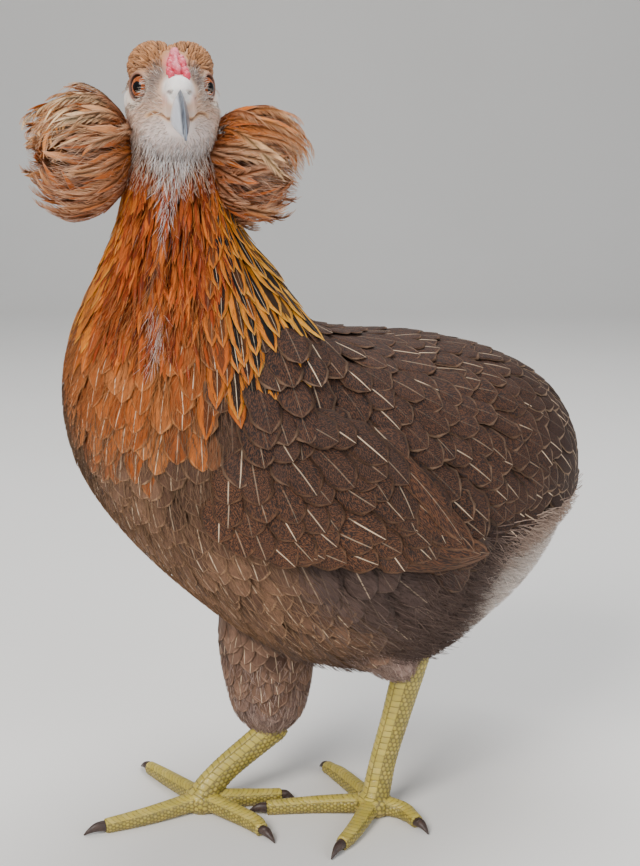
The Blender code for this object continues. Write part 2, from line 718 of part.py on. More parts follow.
def claw_mesh(name, digit, toe):
    middle, end = toe_path(name, digit)[1:]
    ahead = end - middle
    ahead[2] = 0
    ahead /= np.linalg.norm(ahead)
    length = CLAW_LENGTH[digit]
    start = end - 0.001 * ahead
    up = np.array([0, 0, 1.0])
    path = [start, start + 0.45 * length * ahead + 0.0002 * up,
            start + 0.8 * length * ahead - 0.0012 * up, start + length * ahead - 0.0026 * up]
    radii = ((0.0024, 0.0029), (0.0019, 0.0023), (0.0011, 0.0013), (0.0003, 0.0004))
    return cut_clear(loft_mesh(flattened(limb_rings(path, radii, 5, 6))), toe)


# Ear tufts, in the head's own directions: petals that curl round a ball from the ear outward.
# Each side: the ball's centre, and how far its outer pole droops
TUFTS = {1: ((0.0010, 0.0355, 0.3375), 22), -1: ((0.0000, 0.0405, 0.3425), 4)}
TUFT_RADII = (0.0190, 0.0235, 0.0240)
TUFT_FORWARD = 28
# Each layer: how many petals, its size as a share of the ball, where they start and end, half their width,
# and how many steps they bend in
TUFT_LAYERS = ((5, 0.76, 48, 142, 0.0084, 4), (10, 1.0, 30, 138, 0.0079, 4))
TUFT_LIFTS = (-0.0030, 0.0, 0.0045)
TUFT_TILT = 0.0013
TUFT_CORE = ((0.78, 0.78, 0.55), 0.50)


def tuft_surface(side, size):
    """The ball that a tuft's petals curl round: degrees from the ear's pole, and degrees round it."""
    axes = head_axes()
    place, drooping = TUFTS[side]
    droop, forward = math.radians(drooping), math.radians(TUFT_FORWARD)
    level = math.cos(forward) * side * axes[1] + math.sin(forward) * axes[0]
    pole = -math.cos(droop) * level + math.sin(droop) * axes[2]
    across = math.cos(forward) * axes[0] - math.sin(forward) * side * axes[1]
    upright = np.cross(pole, across)
    centre = head_point(place[0], side * place[1], place[2])

    def surface(from_pole, about):
        polar, turn = np.radians(from_pole * 10), np.radians(about * 10)
        return centre + size * (TUFT_RADII[0] * math.sin(polar) * math.cos(turn) * across
                                + TUFT_RADII[2] * math.sin(polar) * math.sin(turn) * upright
                                + TUFT_RADII[1] * math.cos(polar) * pole)
    return surface, centre, np.stack([across, upright, pole])


def tuft_mesh(side, *neighbours):
    rng = random.Random(7)
    feathers = []
    for count, size, start, end, half_width, steps in TUFT_LAYERS:
        surface, centre, axes = tuft_surface(side, size)
        reach = np.mean(TUFT_RADII) * size * math.radians(end - start)
        for i in range(count):
            about = 36 * (i + rng.uniform(-0.12, 0.12)) / count
            feathers.append(draped_vane(surface, 1, (start / 10, about), (1, 0.2 * side),
                                        reach * rng.uniform(0.88, 1.06), half_width,
                                        TUFT_LIFTS, pointed, steps, TUFT_TILT))
    shares, towards_ear = TUFT_CORE
    radii = np.array(shares) * (TUFT_RADII[0], TUFT_RADII[2], TUFT_RADII[1])
    core = ball(centre + towards_ear * TUFT_RADII[1] * axes[2], radii, axes, 12, 6)
    return cut_clear(boolean(core, feathers, "UNION"), *neighbours, solver="MANIFOLD")


def centre_on_floor(meshes):
    """Puts the origin on the floor under the middle of the whole bird."""
    points = np.array([vert.co for mesh in meshes for vert in mesh.vertices])
    middle = (points.min(0) + points.max(0)) / 2
    for mesh in meshes:
        mesh.transform(Matrix.Translation((-middle[0], -middle[1], 0)))


COLOURS = {
    "back plumage": ((0.075, 0.045, 0.035), 0.7),
    "hackle": ((0.50, 0.19, 0.05), 0.65),
    "face": ((0.62, 0.42, 0.32), 0.7),
    "tuft": ((0.55, 0.25, 0.12), 0.75),
    "thigh fluff": ((0.25, 0.17, 0.14), 0.85),
    "comb": ((0.75, 0.16, 0.17), 0.45),
    "eye": ((0.75, 0.22, 0.04), 0.1),
    "beak horn": ((0.42, 0.42, 0.42), 0.4),
    "leg scale": ((0.42, 0.40, 0.11), 0.5),
    "claw horn": ((0.06, 0.03, 0.025), 0.35),
}


def main():
    for old in list(bpy.data.objects):
        bpy.data.objects.remove(old)
    finish = {name: material(name, colour, rough) for name, (colour, rough) in COLOURS.items()}
    torso = torso_mesh()
    neck = neck_mesh(torso)
    head = head_mesh()
    upper, lower = beak_upper_mesh(head), beak_lower_mesh(head)
    pieces = [("torso", torso, "back plumage"), ("neck", neck, "hackle"), ("head", head, "face"),
              ("beak_upper", upper, "beak horn"), ("beak_lower", lower, "beak horn"),
              ("comb", comb_mesh(head, upper), "comb")]
    for name, side in (("left", 1), ("right", -1)):
        thigh = thigh_mesh(name, torso)
        foot = foot_mesh(name)
        shank = shank_mesh(name, thigh, torso, foot)
        pieces += [(f"eye_{name}", eye_mesh(side), "eye"),
                   (f"ear_tuft_{name}", tuft_mesh(side, head, neck), "tuft"),
                   (f"wing_{name}", wing_mesh(side, torso, neck), "back plumage"),
                   (f"thigh_{name}", thigh, "thigh fluff"),
                   (f"shank_{name}", shank, "leg scale"), (f"foot_{name}", foot, "leg scale")]
        grown_toes = []
        for digit in range(4):
            toe = toe_mesh(name, digit, foot, shank, *grown_toes)
            grown_toes.append(toe)
            pieces += [(f"toe_{name}_{digit + 1}", toe, "leg scale"),
                       (f"claw_{name}_{digit + 1}", claw_mesh(name, digit, toe), "claw horn")]
    centre_on_floor([mesh for _, mesh, _ in pieces])
    for name, mesh, look in pieces:
        add_object(name, mesh, finish[look])


main()
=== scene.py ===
"""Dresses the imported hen: skin, feathers, ear tufts, eyes, comb, beak and scaled legs, lit in a pale studio."""
import math

import bpy
import numpy as np
from mathutils import Matrix, Vector


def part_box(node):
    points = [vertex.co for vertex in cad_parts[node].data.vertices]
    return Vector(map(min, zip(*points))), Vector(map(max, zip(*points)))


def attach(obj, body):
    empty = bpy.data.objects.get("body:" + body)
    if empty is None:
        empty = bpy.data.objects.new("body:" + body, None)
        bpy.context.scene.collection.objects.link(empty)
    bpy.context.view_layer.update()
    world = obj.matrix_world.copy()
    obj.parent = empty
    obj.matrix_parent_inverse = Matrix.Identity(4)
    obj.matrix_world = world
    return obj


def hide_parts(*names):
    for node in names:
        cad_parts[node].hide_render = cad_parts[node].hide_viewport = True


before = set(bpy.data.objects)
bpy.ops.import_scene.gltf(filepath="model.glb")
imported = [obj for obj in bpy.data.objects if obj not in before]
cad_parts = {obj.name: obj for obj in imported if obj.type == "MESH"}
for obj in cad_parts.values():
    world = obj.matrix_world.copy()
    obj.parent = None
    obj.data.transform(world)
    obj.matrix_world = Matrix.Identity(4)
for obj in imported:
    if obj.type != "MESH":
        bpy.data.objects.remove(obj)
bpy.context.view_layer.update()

# The hen's form, repeated from the part: forward, height and width of each station, in metres
NECK_AXIS_FORWARD = 0.065
BODY_ROUNDNESS, HEAD_ROUNDNESS = 2.25, 2.15
STATIONS = (
    (-0.173, 0.178, -0.173, 0.158, 0.010, 0),
    (-0.168, 0.197, -0.166, 0.140, 0.028, 0),
    (-0.156, 0.2165, -0.150, 0.121, 0.046, 0),
    (-0.136, 0.2325, -0.128, 0.104, 0.0625, 0),
    (-0.107, 0.2440, -0.098, 0.088, 0.0755, 0),
    (-0.074, 0.2515, -0.062, 0.078, 0.083, 0),
    (-0.040, 0.2550, -0.020, 0.080, 0.085, 0),
    (-0.014, 0.260, 0.019, 0.096, 0.082, 0),
    (0.004, 0.267, 0.053, 0.125, 0.0755, 4),
    (0.014, 0.276, 0.082, 0.158, 0.0700, 11),
    (0.0225, 0.287, 0.102, 0.191, 0.0620, 21),
    (0.0292, 0.299, 0.110, 0.225, 0.0518, 32),
    (0.0348, 0.311, 0.1065, 0.256, 0.0392, 42),
    (0.0376, 0.323, 0.0970, 0.284, 0.0298, 50),
    (0.0388, 0.336, 0.0890, 0.308, 0.0240, 56),
    (0.0394, 0.350, 0.0850, 0.327, 0.0212, 61),
    (0.0395, 0.363, 0.0835, 0.3395, 0.0202, 64),
    (0.042, 0.376, 0.0865, 0.343, 0.0202, 67),
    (0.051, 0.3855, 0.0895, 0.3455, 0.0206, 69),
    (0.0625, 0.3893, 0.092, 0.347, 0.0166, 69.5),
    (0.0750, 0.3872, 0.094, 0.3482, 0.0128, 69.5),
    (0.0858, 0.3800, 0.0955, 0.3492, 0.0095, 69.5),
    (0.0955, 0.3725, 0.0965, 0.3510, 0.0066, 69.5),
)
HEAD_TURN = 69.5
HEAD_CUT = 15.5
LAST = len(STATIONS) - 1
WING_UPPER = ((10.3, 100), (9.2, 79), (7.9, 67), (6.8, 73), (5.9, 86), (5.15, 92))
WING_LOWER = ((10.3, 131), (9.2, 137), (8.0, 115), (6.9, 102), (5.9, 98), (5.15, 96))
WING_PROUD = (0.0004, 0.0030, 0.0060, 0.0064, 0.0052, 0.0022)
TUFTS = {1: ((0.0010, 0.0355, 0.3375), 22), -1: ((0.0000, 0.0405, 0.3425), 4)}
TUFT_RADII = (0.0190, 0.0235, 0.0240)
TUFT_FORWARD = 28
EYE_PLACE = (0.0056, 0.0117, 0.3713)
EYE_RADIUS, EYE_OUTWARD = 0.0070, 58
MOUTH_CORNER, BEAK_TIP = (0.0208, 0.3592), (0.0508, 0.3483)
SIDES = (("left", 1), ("right", -1))


def unit(vectors):
    return vectors / np.maximum(np.linalg.norm(vectors, axis=-1, keepdims=True), 1e-12)


def dot(a, b):
    return (a * b).sum(-1, keepdims=True)


def smooth_table(table, where):
    """Catmull-Rom interpolation of the rows of a table at fractional row numbers."""
    rows = np.asarray(table, float)
    where = np.clip(np.asarray(where, float), 0, len(rows) - 1)
    row = np.minimum(where.astype(int), len(rows) - 2)
    u = (where - row)[..., None]
    before = rows[np.maximum(row - 1, 0)]
    here, there = rows[row], rows[row + 1]
    after = rows[np.minimum(row + 2, len(rows) - 1)]
    return here + 0.5 * u * (there - before + u * (
        2 * before - 5 * here + 4 * there - after + u * (3 * (here - there) + after - before)))


def fade(value, low, high):
    """0 below low, 1 above high, smooth between."""
    t = np.clip((np.asarray(value, float) - low) / (high - low), 0, 1)
    return t * t * (3 - 2 * t)


def power(value, roundness):
    return np.sign(value) * np.abs(value) ** (2 / roundness)


def turned(forward, side, height, turn):
    """A point given by forward, left and up distances, turned about the neck's upright axis."""
    ahead = forward - NECK_AXIS_FORWARD
    x = np.sin(turn) * ahead + np.cos(turn) * side
    y = -NECK_AXIS_FORWARD - np.cos(turn) * ahead + np.sin(turn) * side
    return np.stack(np.broadcast_arrays(x, y, height), -1)


def raw_head_point(ahead, side, height):
    return turned(np.asarray(ahead) + NECK_AXIS_FORWARD, np.asarray(side), np.asarray(height),
                  math.radians(HEAD_TURN))


def middle_of(node):
    low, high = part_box(node)
    return np.array((low + high) / 2)


# The part is centred over its own box, so its places here are moved by as much as its left eye
SHIFT = middle_of("eye_left") - raw_head_point(*EYE_PLACE)


def head_point(ahead, side, height):
    return raw_head_point(ahead, side, height) + SHIFT


HEAD_AXES = np.stack([raw_head_point(1, 0, 0) - raw_head_point(0, 0, 0),
                      raw_head_point(0, 1, 0) - raw_head_point(0, 0, 0), [0, 0, 1.0]])


def in_head(points):
    """Ahead, side and height of points given in the frame."""
    local = (points - head_point(0, 0, 0)) @ HEAD_AXES.T
    return local[..., 0], local[..., 1], local[..., 2]


def body(station, angle):
    """The plumage's outer surface: angle 0 is the back's middle, 90 degrees the left side, 180 the belly."""
    values = smooth_table(STATIONS, station)
    dorsal, ventral = values[..., 0:2], values[..., 2:4]
    half_width, turn = values[..., 4], np.radians(values[..., 5])
    headness = np.clip((np.asarray(station, float) - HEAD_CUT) / 2, 0, 1)
    roundness = BODY_ROUNDNESS + (HEAD_ROUNDNESS - BODY_ROUNDNESS) * headness
    along = power(np.cos(angle), roundness)[..., None]
    middle = (dorsal + ventral) / 2 + along * (dorsal - ventral) / 2
    side = half_width * power(np.sin(angle), roundness)
    return turned(middle[..., 0], side, middle[..., 1], turn) + SHIFT


def slopes(surface, u, v, step=0.012):
    """A surface's point, and how it moves with each of its two numbers."""
    return (surface(u, v), (surface(u + step, v) - surface(u - step, v)) / (2 * step),
            (surface(u, v + step) - surface(u, v - step)) / (2 * step))


def wing(side):
    """The folded wing's outer face: along from shoulder to tip, down from upper to lower edge."""
    def surface(along, down):
        along, down = np.broadcast_arrays(np.asarray(along, float), np.asarray(down, float))
        where = along * (len(WING_UPPER) - 1)
        upper, lower = smooth_table(WING_UPPER, where), smooth_table(WING_LOWER, where)
        place = upper + down[..., None] * (lower - upper)
        station, angle = place[..., 0], side * np.radians(place[..., 1])
        crown = 0.45 + 0.55 * np.sin(np.pi * np.clip(down, 0, 1) * 0.85 + 0.15)
        proud = smooth_table(np.array(WING_PROUD)[:, None], where)[..., 0] * crown
        point, by_station, by_angle = slopes(body, station, angle)
        return point + proud[..., None] * unit(np.cross(by_station, by_angle))
    return surface


def tuft(side, size):
    """The ball that an ear tuft's feathers curl round: tens of degrees from the ear's pole, and round it."""
    place, drooping = TUFTS[side]
    droop, forward = math.radians(drooping), math.radians(TUFT_FORWARD)
    level = math.cos(forward) * side * HEAD_AXES[1] + math.sin(forward) * HEAD_AXES[0]
    pole = -math.cos(droop) * level + math.sin(droop) * HEAD_AXES[2]
    across = math.cos(forward) * HEAD_AXES[0] - math.sin(forward) * side * HEAD_AXES[1]
    upright = np.cross(pole, across)
    centre = head_point(place[0], side * place[1], place[2])

    def surface(from_pole, about):
        polar, turn = np.radians(from_pole * 10)[..., None], np.radians(about * 10)[..., None]
        return centre + size * (TUFT_RADII[0] * np.sin(polar) * np.cos(turn) * across
                                + TUFT_RADII[2] * np.sin(polar) * np.sin(turn) * upright
                                + TUFT_RADII[1] * np.cos(polar) * pole)
    return surface


def limb(path, radii, reference=(1, 0, 0)):
    """A limb's surface: along from 0 to 1, and the angle round it from the reference side."""
    points = np.array([(x, -forward, up) for x, forward, up in path]) + SHIFT * (1, 1, 0)
    last = len(path) - 1

    def surface(along, angle, extra=0.0):
        along, angle = np.broadcast_arrays(np.asarray(along, float), np.asarray(angle, float))
        where = np.clip(along, 0, 1) * last
        centre, width = smooth_table(points, where), smooth_table(radii, where)
        heading = unit(smooth_table(points, np.minimum(where + 0.05, last))
                       - smooth_table(points, np.maximum(where - 0.05, 0)))
        side = unit(np.asarray(reference, float) - dot(heading, np.asarray(reference, float)) * heading)
        up = np.cross(side, heading)
        return (centre + (np.cos(angle) * (width[..., 0] + extra))[..., None] * side
                + (np.sin(angle) * (width[..., 1] + extra))[..., None] * up)
    return surface


# Shader maths on sockets
class Value:
    """A socket of one finish. Sums on it add its Math nodes."""
    def __init__(self, finish, socket):
        self.finish, self.socket = finish, socket

    def sum(self, operation, *values):
        return self.finish.node("ShaderNodeMath", {"operation": operation}, *values)

    def __add__(self, other):
        return self.sum("ADD", self, other)

    def __sub__(self, other):
        return self.sum("SUBTRACT", self, other)

    def __rsub__(self, other):
        return self.sum("SUBTRACT", other, self)

    def __mul__(self, other):
        return self.sum("MULTIPLY", self, other)

    def __truediv__(self, other):
        return self.sum("DIVIDE", self, other)

    def __pow__(self, other):
        return self.sum("POWER", self, other)

    def __abs__(self):
        return self.sum("ABSOLUTE", self)

    __radd__, __rmul__ = __add__, __mul__

    def sine(self):
        return self.sum("SINE", self)

    def larger(self, other):
        return self.sum("MAXIMUM", self, other)

    def fade(self, low, high, start=0.0, end=1.0):
        """A smooth change from start, below low, to end, above high."""
        return self.finish.node("ShaderNodeMapRange", {"interpolation_type": "SMOOTHSTEP"},
                                self, low, high, start, end)


class Finish:
    """One procedural material and its nodes."""
    def __init__(self, name, **shader):
        self.material = bpy.data.materials.new(name)
        self.material.use_nodes = True
        self.tree = self.material.node_tree
        self.shader = self.tree.nodes["Principled BSDF"]
        self.set(**shader)

    def set(self, **shader):
        for name, value in shader.items():
            self.put(self.shader.inputs[name.replace("_", " ")], value)
        return self

    def put(self, socket, value):
        if isinstance(value, Value):
            self.tree.links.new(value.socket, socket)
        else:
            socket.default_value = value

    def node(self, kind, settings, *values, out=0, **named):
        made = self.tree.nodes.new(kind)
        for name, value in settings.items():
            if name == "stops":
                while len(made.color_ramp.elements) < len(value):
                    made.color_ramp.elements.new(0.5)
                for element, (place, colour) in zip(made.color_ramp.elements, value):
                    element.position, element.color = place, colour
            else:
                setattr(made, name, value)
        for socket, value in zip(made.inputs, values):
            if value is not None:
                self.put(socket, value)
        for name, value in named.items():
            self.put(made.inputs[name.replace("_", " ")], value)
        return Value(self, made.outputs[out])

    def mix(self, share, first, second, blend="MIX"):
        return self.node("ShaderNodeMix", {"data_type": "RGBA", "blend_type": blend, "clamp_factor": True},
                         share, None, None, None, None, None, first, second, out=2)

    def point(self, x, y, z=0.0):
        return self.node("ShaderNodeCombineXYZ", {}, x, y, z)

    def parts(self, vector):
        return [self.node("ShaderNodeSeparateXYZ", {}, vector, out=i) for i in range(3)]

    def noise(self, scale, detail=3.0, vector=None, out=0):
        where = vector or self.node("ShaderNodeTexCoord", {}, out=3)
        return self.node("ShaderNodeTexNoise", {}, where, None, scale, detail, out=out)

    def attribute(self, name, out=0):
        return self.node("ShaderNodeAttribute", {"attribute_name": name}, out=out)

    def bump(self, height, strength, distance, normal=None):
        made = self.node("ShaderNodeBump", {}, strength, distance, Height=height)
        if normal:
            self.put(made.socket.node.inputs["Normal"], normal)
        return made


def rgb(red, green, blue):
    """A colour as a monitor shows it, from 0 to 255, made linear."""
    return tuple(((v / 255 + 0.055) / 1.055) ** 2.4 if v > 10 else v / 255 / 12.92
                 for v in (red, green, blue)) + (1.0,)


# Meshes
def mesh_piece(name, points, quads, finish, slot, nodes=(), layers=None, uvs=None, smooth=True, triangles=None):
    """One piece from arrays: its points, its faces, colour layers and UV maps for each point."""
    points = np.ascontiguousarray(points, np.float32).reshape(-1, 3)
    quads = np.asarray(quads, np.int32).reshape(-1, 4)
    loops, starts = quads.ravel(), np.arange(len(quads)) * 4
    totals = np.full(len(quads), 4)
    if triangles is not None and len(triangles):
        triangles = np.asarray(triangles, np.int32).reshape(-1, 3)
        starts = np.concatenate([starts, len(loops) + np.arange(len(triangles)) * 3])
        totals = np.concatenate([totals, np.full(len(triangles), 3)])
        loops = np.concatenate([loops, triangles.ravel()])
    mesh = bpy.data.meshes.new(name)
    mesh.vertices.add(len(points))
    mesh.vertices.foreach_set("co", points.ravel())
    mesh.loops.add(len(loops))
    mesh.loops.foreach_set("vertex_index", loops.astype(np.int32))
    mesh.polygons.add(len(starts))
    mesh.polygons.foreach_set("loop_start", starts.astype(np.int32))
    mesh.update(calc_edges=True)
    mesh.validate()
    for layer, values in (layers or {}).items():
        values = np.asarray(values, np.float32)
        if values.shape[-1] == 3:
            values = np.concatenate([values, np.ones_like(values[..., :1])], -1)
        mesh.attributes.new(layer, "FLOAT_COLOR", "POINT").data.foreach_set("color", values.ravel())
    order = np.empty(len(mesh.loops), np.int32)
    mesh.loops.foreach_get("vertex_index", order)
    for uv, values in (uvs or {}).items():
        mesh.uv_layers.new(name=uv).data.foreach_set(
            "uv", np.asarray(values, np.float32).reshape(-1, 2)[order].ravel())
    mesh.polygons.foreach_set("use_smooth", np.full(len(mesh.polygons), smooth))
    piece = bpy.data.objects.new(name, mesh)
    bpy.context.scene.collection.objects.link(piece)
    mesh.materials.append(finish.material)
    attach(piece, "root")
    if nodes:
        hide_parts(*nodes)
    return piece


def tube_faces(rings, around):
    """Quads of a tube whose points run round each ring, and the triangles that cap it on two extra points."""
    k = np.arange(around)
    after = (k + 1) % around
    quads = np.concatenate([np.stack([i * around + k, i * around + after, (i + 1) * around + after,
                                      (i + 1) * around + k], 1) for i in range(rings - 1)])
    first, last, base = rings * around, rings * around + 1, (rings - 1) * around
    caps = np.concatenate([np.stack([after, k, np.full(around, first)], 1),
                           np.stack([base + k, base + after, np.full(around, last)], 1)])
    return quads, caps


def tube(surface, rings, around, **extra):
    """The points and faces of a closed tube sampled from a surface, with its along and angle for each point."""
    along = np.repeat(rings, around)
    angle = np.tile(np.linspace(0, 2 * math.pi, around, endpoint=False), len(rings))
    points = surface(along, angle, **extra)
    grid = points.reshape(len(rings), around, 3)
    points = np.concatenate([points, [grid[0].mean(0)], [grid[-1].mean(0)]])
    quads, caps = tube_faces(len(rings), around)
    corners = points[np.concatenate([quads[:, :3], quads[:, [0, 2, 3]], caps])] - points[0]
    if np.einsum("ij,ij->", corners[:, 0], np.cross(corners[:, 1], corners[:, 2])) < 0:
        quads, caps = quads[:, ::-1], caps[:, ::-1]
    return points, quads, caps, np.append(along, [rings[0], rings[-1]]), np.append(angle, [0, 0])


def joined(parts):
    """Several sets of points, quads and triangles as one."""
    points, quads, triangles, start = [], [], [], 0
    for piece in parts:
        points.append(piece[0])
        quads.append(piece[1] + start)
        triangles.append(piece[2] + start)
        start += len(piece[0])
    return np.concatenate(points), np.concatenate(quads), np.concatenate(triangles)


def rounded(t):
    """A contour feather's outline: quickly wide, evenly broad, with a round end."""
    return (0.30 + 0.70 * fade(t, 0.0, 0.42)) * np.sqrt(np.clip(1 - (np.clip(t - 0.64, 0, 1) / 0.365) ** 2.7, 0.03, 1))


def lance(t):
    """A hackle's outline: slim, widest past its middle, drawn to a point."""
    return (0.35 + 0.65 * fade(t, 0.0, 0.5)) * np.clip(1 - (np.clip(t - 0.50, 0, 1) / 0.51) ** 2.1, 0.05, 1)


def spear(t):
    """A hackle's outline: slim, evenly broad, with a blunt end."""
    return (0.40 + 0.60 * fade(t, 0.0, 0.45)) * np.clip(1 - (np.clip(t - 0.62, 0, 1) / 0.39) ** 2.6, 0.10, 1)


def strand(t):
    """A strand of down: even, ending in a point."""
    return np.clip(1 - np.clip(t, 0, 1) ** 1.6, 0.06, 1)


def march(surface, u, v, heading, length, shares, inside, limits, fall):
    """Walks straight ahead over a surface; past its limits a feather goes on freely and droops."""
    points, headings, normals = [], [], []
    free, place, normal = np.zeros(len(u), bool)[:, None], None, None
    for gap in np.append(np.diff(shares), 0):
        stride = (length * gap)[:, None]
        point, by_u, by_v = slopes(surface, u, v)
        out = unit(np.cross(by_u, by_v))
        if place is None:
            place, normal = point, out * np.sign(dot(out, point - inside).sum())
            facing = np.sign(dot(out, normal).sum())
        place = np.where(free, place, point)
        heading = unit(heading + np.where(free, fall, 0) * np.array([0, 0, -1.0]))
        normal = np.where(free, normal, out * facing)
        normal = unit(normal - dot(normal, heading) * heading * free)
        heading = unit(heading - dot(heading, normal) * normal)
        points.append(place)
        headings.append(heading)
        normals.append(normal)
        uu, vv, uv = dot(by_u, by_u), dot(by_v, by_v), dot(by_u, by_v)
        along, round_it = dot(heading, by_u), dot(heading, by_v)
        det = uu * vv - uv ** 2 + 1e-16
        next_u = u + ((vv * along - uv * round_it) / det * stride)[:, 0]
        next_v = v + ((uu * round_it - uv * along) / det * stride)[:, 0]
        free = free | ((next_u < limits[0]) | (next_u > limits[1]))[:, None]
        u, v = np.where(free[:, 0], u, next_u), np.where(free[:, 0], v, next_v)
        place = place + stride * heading
    return np.array(points), np.array(headings), np.array(normals)


# The most triangles that one piece of the coat may have, before it is laid as several
COAT_LIMIT = 190000


def lay(name, finish, slot, surface, u, v, heading, length, half, lifts, ground, fringe, marks, rng,
        outline=rounded, rows=9, cols=7, camber=0.10, arc=0.03, yaw=0.10, roll=0.06, ragged=0.05, thick=0.0003,
        inside=(0, 0, 0.18), limits=(0.25, 99), fall=0.10, where=None, nodes=(), tipping=None):
    """Lays closed feathers on a surface, each from its root along its heading."""
    count = len(u)
    length, half = np.broadcast_to(length, count), np.broadcast_to(half, count)
    point, by_u, by_v = slopes(surface, u, v)
    normal = unit(np.cross(by_u, by_v))
    heading = unit(heading - dot(heading, normal) * normal)
    turn = rng.normal(0, 1, count)[:, None] * yaw
    heading = heading * np.cos(turn) + np.cross(normal, heading) * np.sin(turn)
    length = length * rng.uniform(0.88, 1.10, count)
    t = np.sin(np.linspace(0, 1, rows) ** 0.92 * math.pi / 2) ** 1.1
    spine, ahead, out = march(surface, u, v, heading, length, t, np.asarray(inside), limits, fall)
    t = t[:, None]
    root, middle, tip = [np.broadcast_to(lift, count) for lift in lifts]
    rise = root * (1 - t) * (1 - 2 * t) + middle * 4 * t * (1 - t) + tip * t * (2 * t - 1)
    tilt = (rng.normal(0, 1, count) * roll)[None, :, None]
    across = unit(np.cross(out, ahead)) * np.cos(tilt) + out * np.sin(tilt)
    x = np.linspace(-1, 1, cols)[None, None, :, None]
    shape = np.asarray(outline(t)) * np.ones((1, count))
    wide = (shape * half)[..., None, None]
    edge = 1 + ragged * rng.normal(0, 1, (rows, count, cols, 1)) * np.abs(x)
    bend = rise[..., None, None] * out[:, :, None] - camber * x ** 2 * wide * out[:, :, None]
    back = (arc * length[None, :] * t ** 3)[..., None, None] * x ** 2 * edge
    upper = spine[:, :, None] + bend + x * wide * edge * across[:, :, None] - back * ahead[:, :, None]
    upper = upper.transpose(1, 0, 2, 3)
    lower = (upper - (thick * (1 - x ** 2) * out[:, :, None]).transpose(1, 0, 2, 3))[:, 1:-1, 1:-1]
    each = rows * cols + (rows - 2) * (cols - 2)
    points = np.concatenate([upper.reshape(count, -1, 3), lower.reshape(count, -1, 3)], 1)
    top = np.arange(rows * cols).reshape(rows, cols)
    under = top.copy()
    under[1:-1, 1:-1] = rows * cols + np.arange((rows - 2) * (cols - 2)).reshape(rows - 2, cols - 2)
    faces = np.concatenate([
        np.stack([top[:-1, :-1], top[1:, :-1], top[1:, 1:], top[:-1, 1:]], -1).reshape(-1, 4),
        np.stack([under[:-1, :-1], under[:-1, 1:], under[1:, 1:], under[1:, :-1]], -1).reshape(-1, 4)])
    uv = np.stack([np.broadcast_to((x[0, 0, :, 0] + 1) / 2, (rows, cols)), np.broadcast_to(t, (rows, cols))], -1)
    uv = np.concatenate([uv.reshape(-1, 2), uv[1:-1, 1:-1].reshape(-1, 2)])
    if where is None:
        where = np.stack([u / LAST, (v / (2 * math.pi)) % 1], -1)
    room = COAT_LIMIT // (2 * len(faces))
    for start in range(0, count, room):
        part = slice(start, min(start + room, count))
        some = part.stop - start
        def spread(values):
            values = np.broadcast_to(np.asarray(values, float), (count, np.shape(values)[-1]))
            return np.repeat(values[part], each, 0)
        layers = {"ground": spread(ground), "fringe": spread(fringe), "marks": spread(marks)}
        if tipping is not None:
            layers["ground"] = blend(fade(np.tile(uv[:, 1], some), 0.15, 0.75), layers["ground"], spread(tipping))
        uvs = {"vane": np.tile(uv, (some, 1)),
               "OFBake": spread(where) + np.tile((uv - 0.5) * 0.003, (some, 1))}
        quads = (faces[None] + (np.arange(some) * each)[:, None, None]).reshape(-1, 4)
        label = name if count <= room else "%s_%d" % (name, start // room + 1)
        mesh_piece(label, points[part].reshape(-1, 3), quads, finish, slot, nodes if start == 0 else (), layers, uvs)


def scatter(surface, u_range, v_range, spacing, rng, keep=None, tries=7):
    """Places at least their spacing apart on a surface. The spacing may vary over it."""
    u = rng.uniform(*u_range, 200000)
    v = rng.uniform(*v_range, 200000)
    point, by_u, by_v = slopes(surface, u, v)
    area = np.linalg.norm(np.cross(by_u, by_v), axis=-1)
    gap = spacing(u, v) if callable(spacing) else np.full(len(u), spacing)
    share = area / gap ** 2
    total = share.mean() * (u_range[1] - u_range[0]) * (v_range[1] - v_range[0])
    wanted = min(int(total * tries), 150000)
    chosen = np.flatnonzero(rng.uniform(0, share.max(), len(u)) < share)
    while len(chosen) < wanted and len(chosen) < 150000:
        more_u, more_v = rng.uniform(*u_range, 200000), rng.uniform(*v_range, 200000)
        more, more_by_u, more_by_v = slopes(surface, more_u, more_v)
        more_gap = spacing(more_u, more_v) if callable(spacing) else np.full(len(more_u), spacing)
        more_share = np.linalg.norm(np.cross(more_by_u, more_by_v), axis=-1) / more_gap ** 2
        picked = np.flatnonzero(rng.uniform(0, share.max(), len(more_u)) < more_share) + len(u)
        u, v = np.append(u, more_u), np.append(v, more_v)
        point, gap = np.concatenate([point, more]), np.append(gap, more_gap)
        chosen = np.append(chosen, picked)
    chosen = chosen[:wanted]
    if keep is not None:
        chosen = chosen[keep(u[chosen], v[chosen], point[chosen])]
    cell = gap[chosen].max()
    taken, kept = {}, []
    cells = np.floor(point[chosen] / cell).astype(int).tolist()
    places, gaps = point[chosen].tolist(), gap[chosen].tolist()
    around = [(i, j, k) for i in (-1, 0, 1) for j in (-1, 0, 1) for k in (-1, 0, 1)]
    for index, (key, place, room) in enumerate(zip(cells, places, gaps)):
        clear = True
        for i, j, k in around:
            for other in taken.get((key[0] + i, key[1] + j, key[2] + k), ()):
                if ((place[0] - other[0]) ** 2 + (place[1] - other[1]) ** 2
                        + (place[2] - other[2]) ** 2) < room ** 2:
                    clear = False
                    break
            if not clear:
                break
        if clear:
            taken.setdefault(tuple(key), []).append(place)
            kept.append(index)
    chosen = chosen[kept]
    return u[chosen], v[chosen], point[chosen]


def blend(share, first, second):
    share = np.asarray(share, float)[..., None]
    return np.asarray(first) * (1 - share) + np.asarray(second) * share


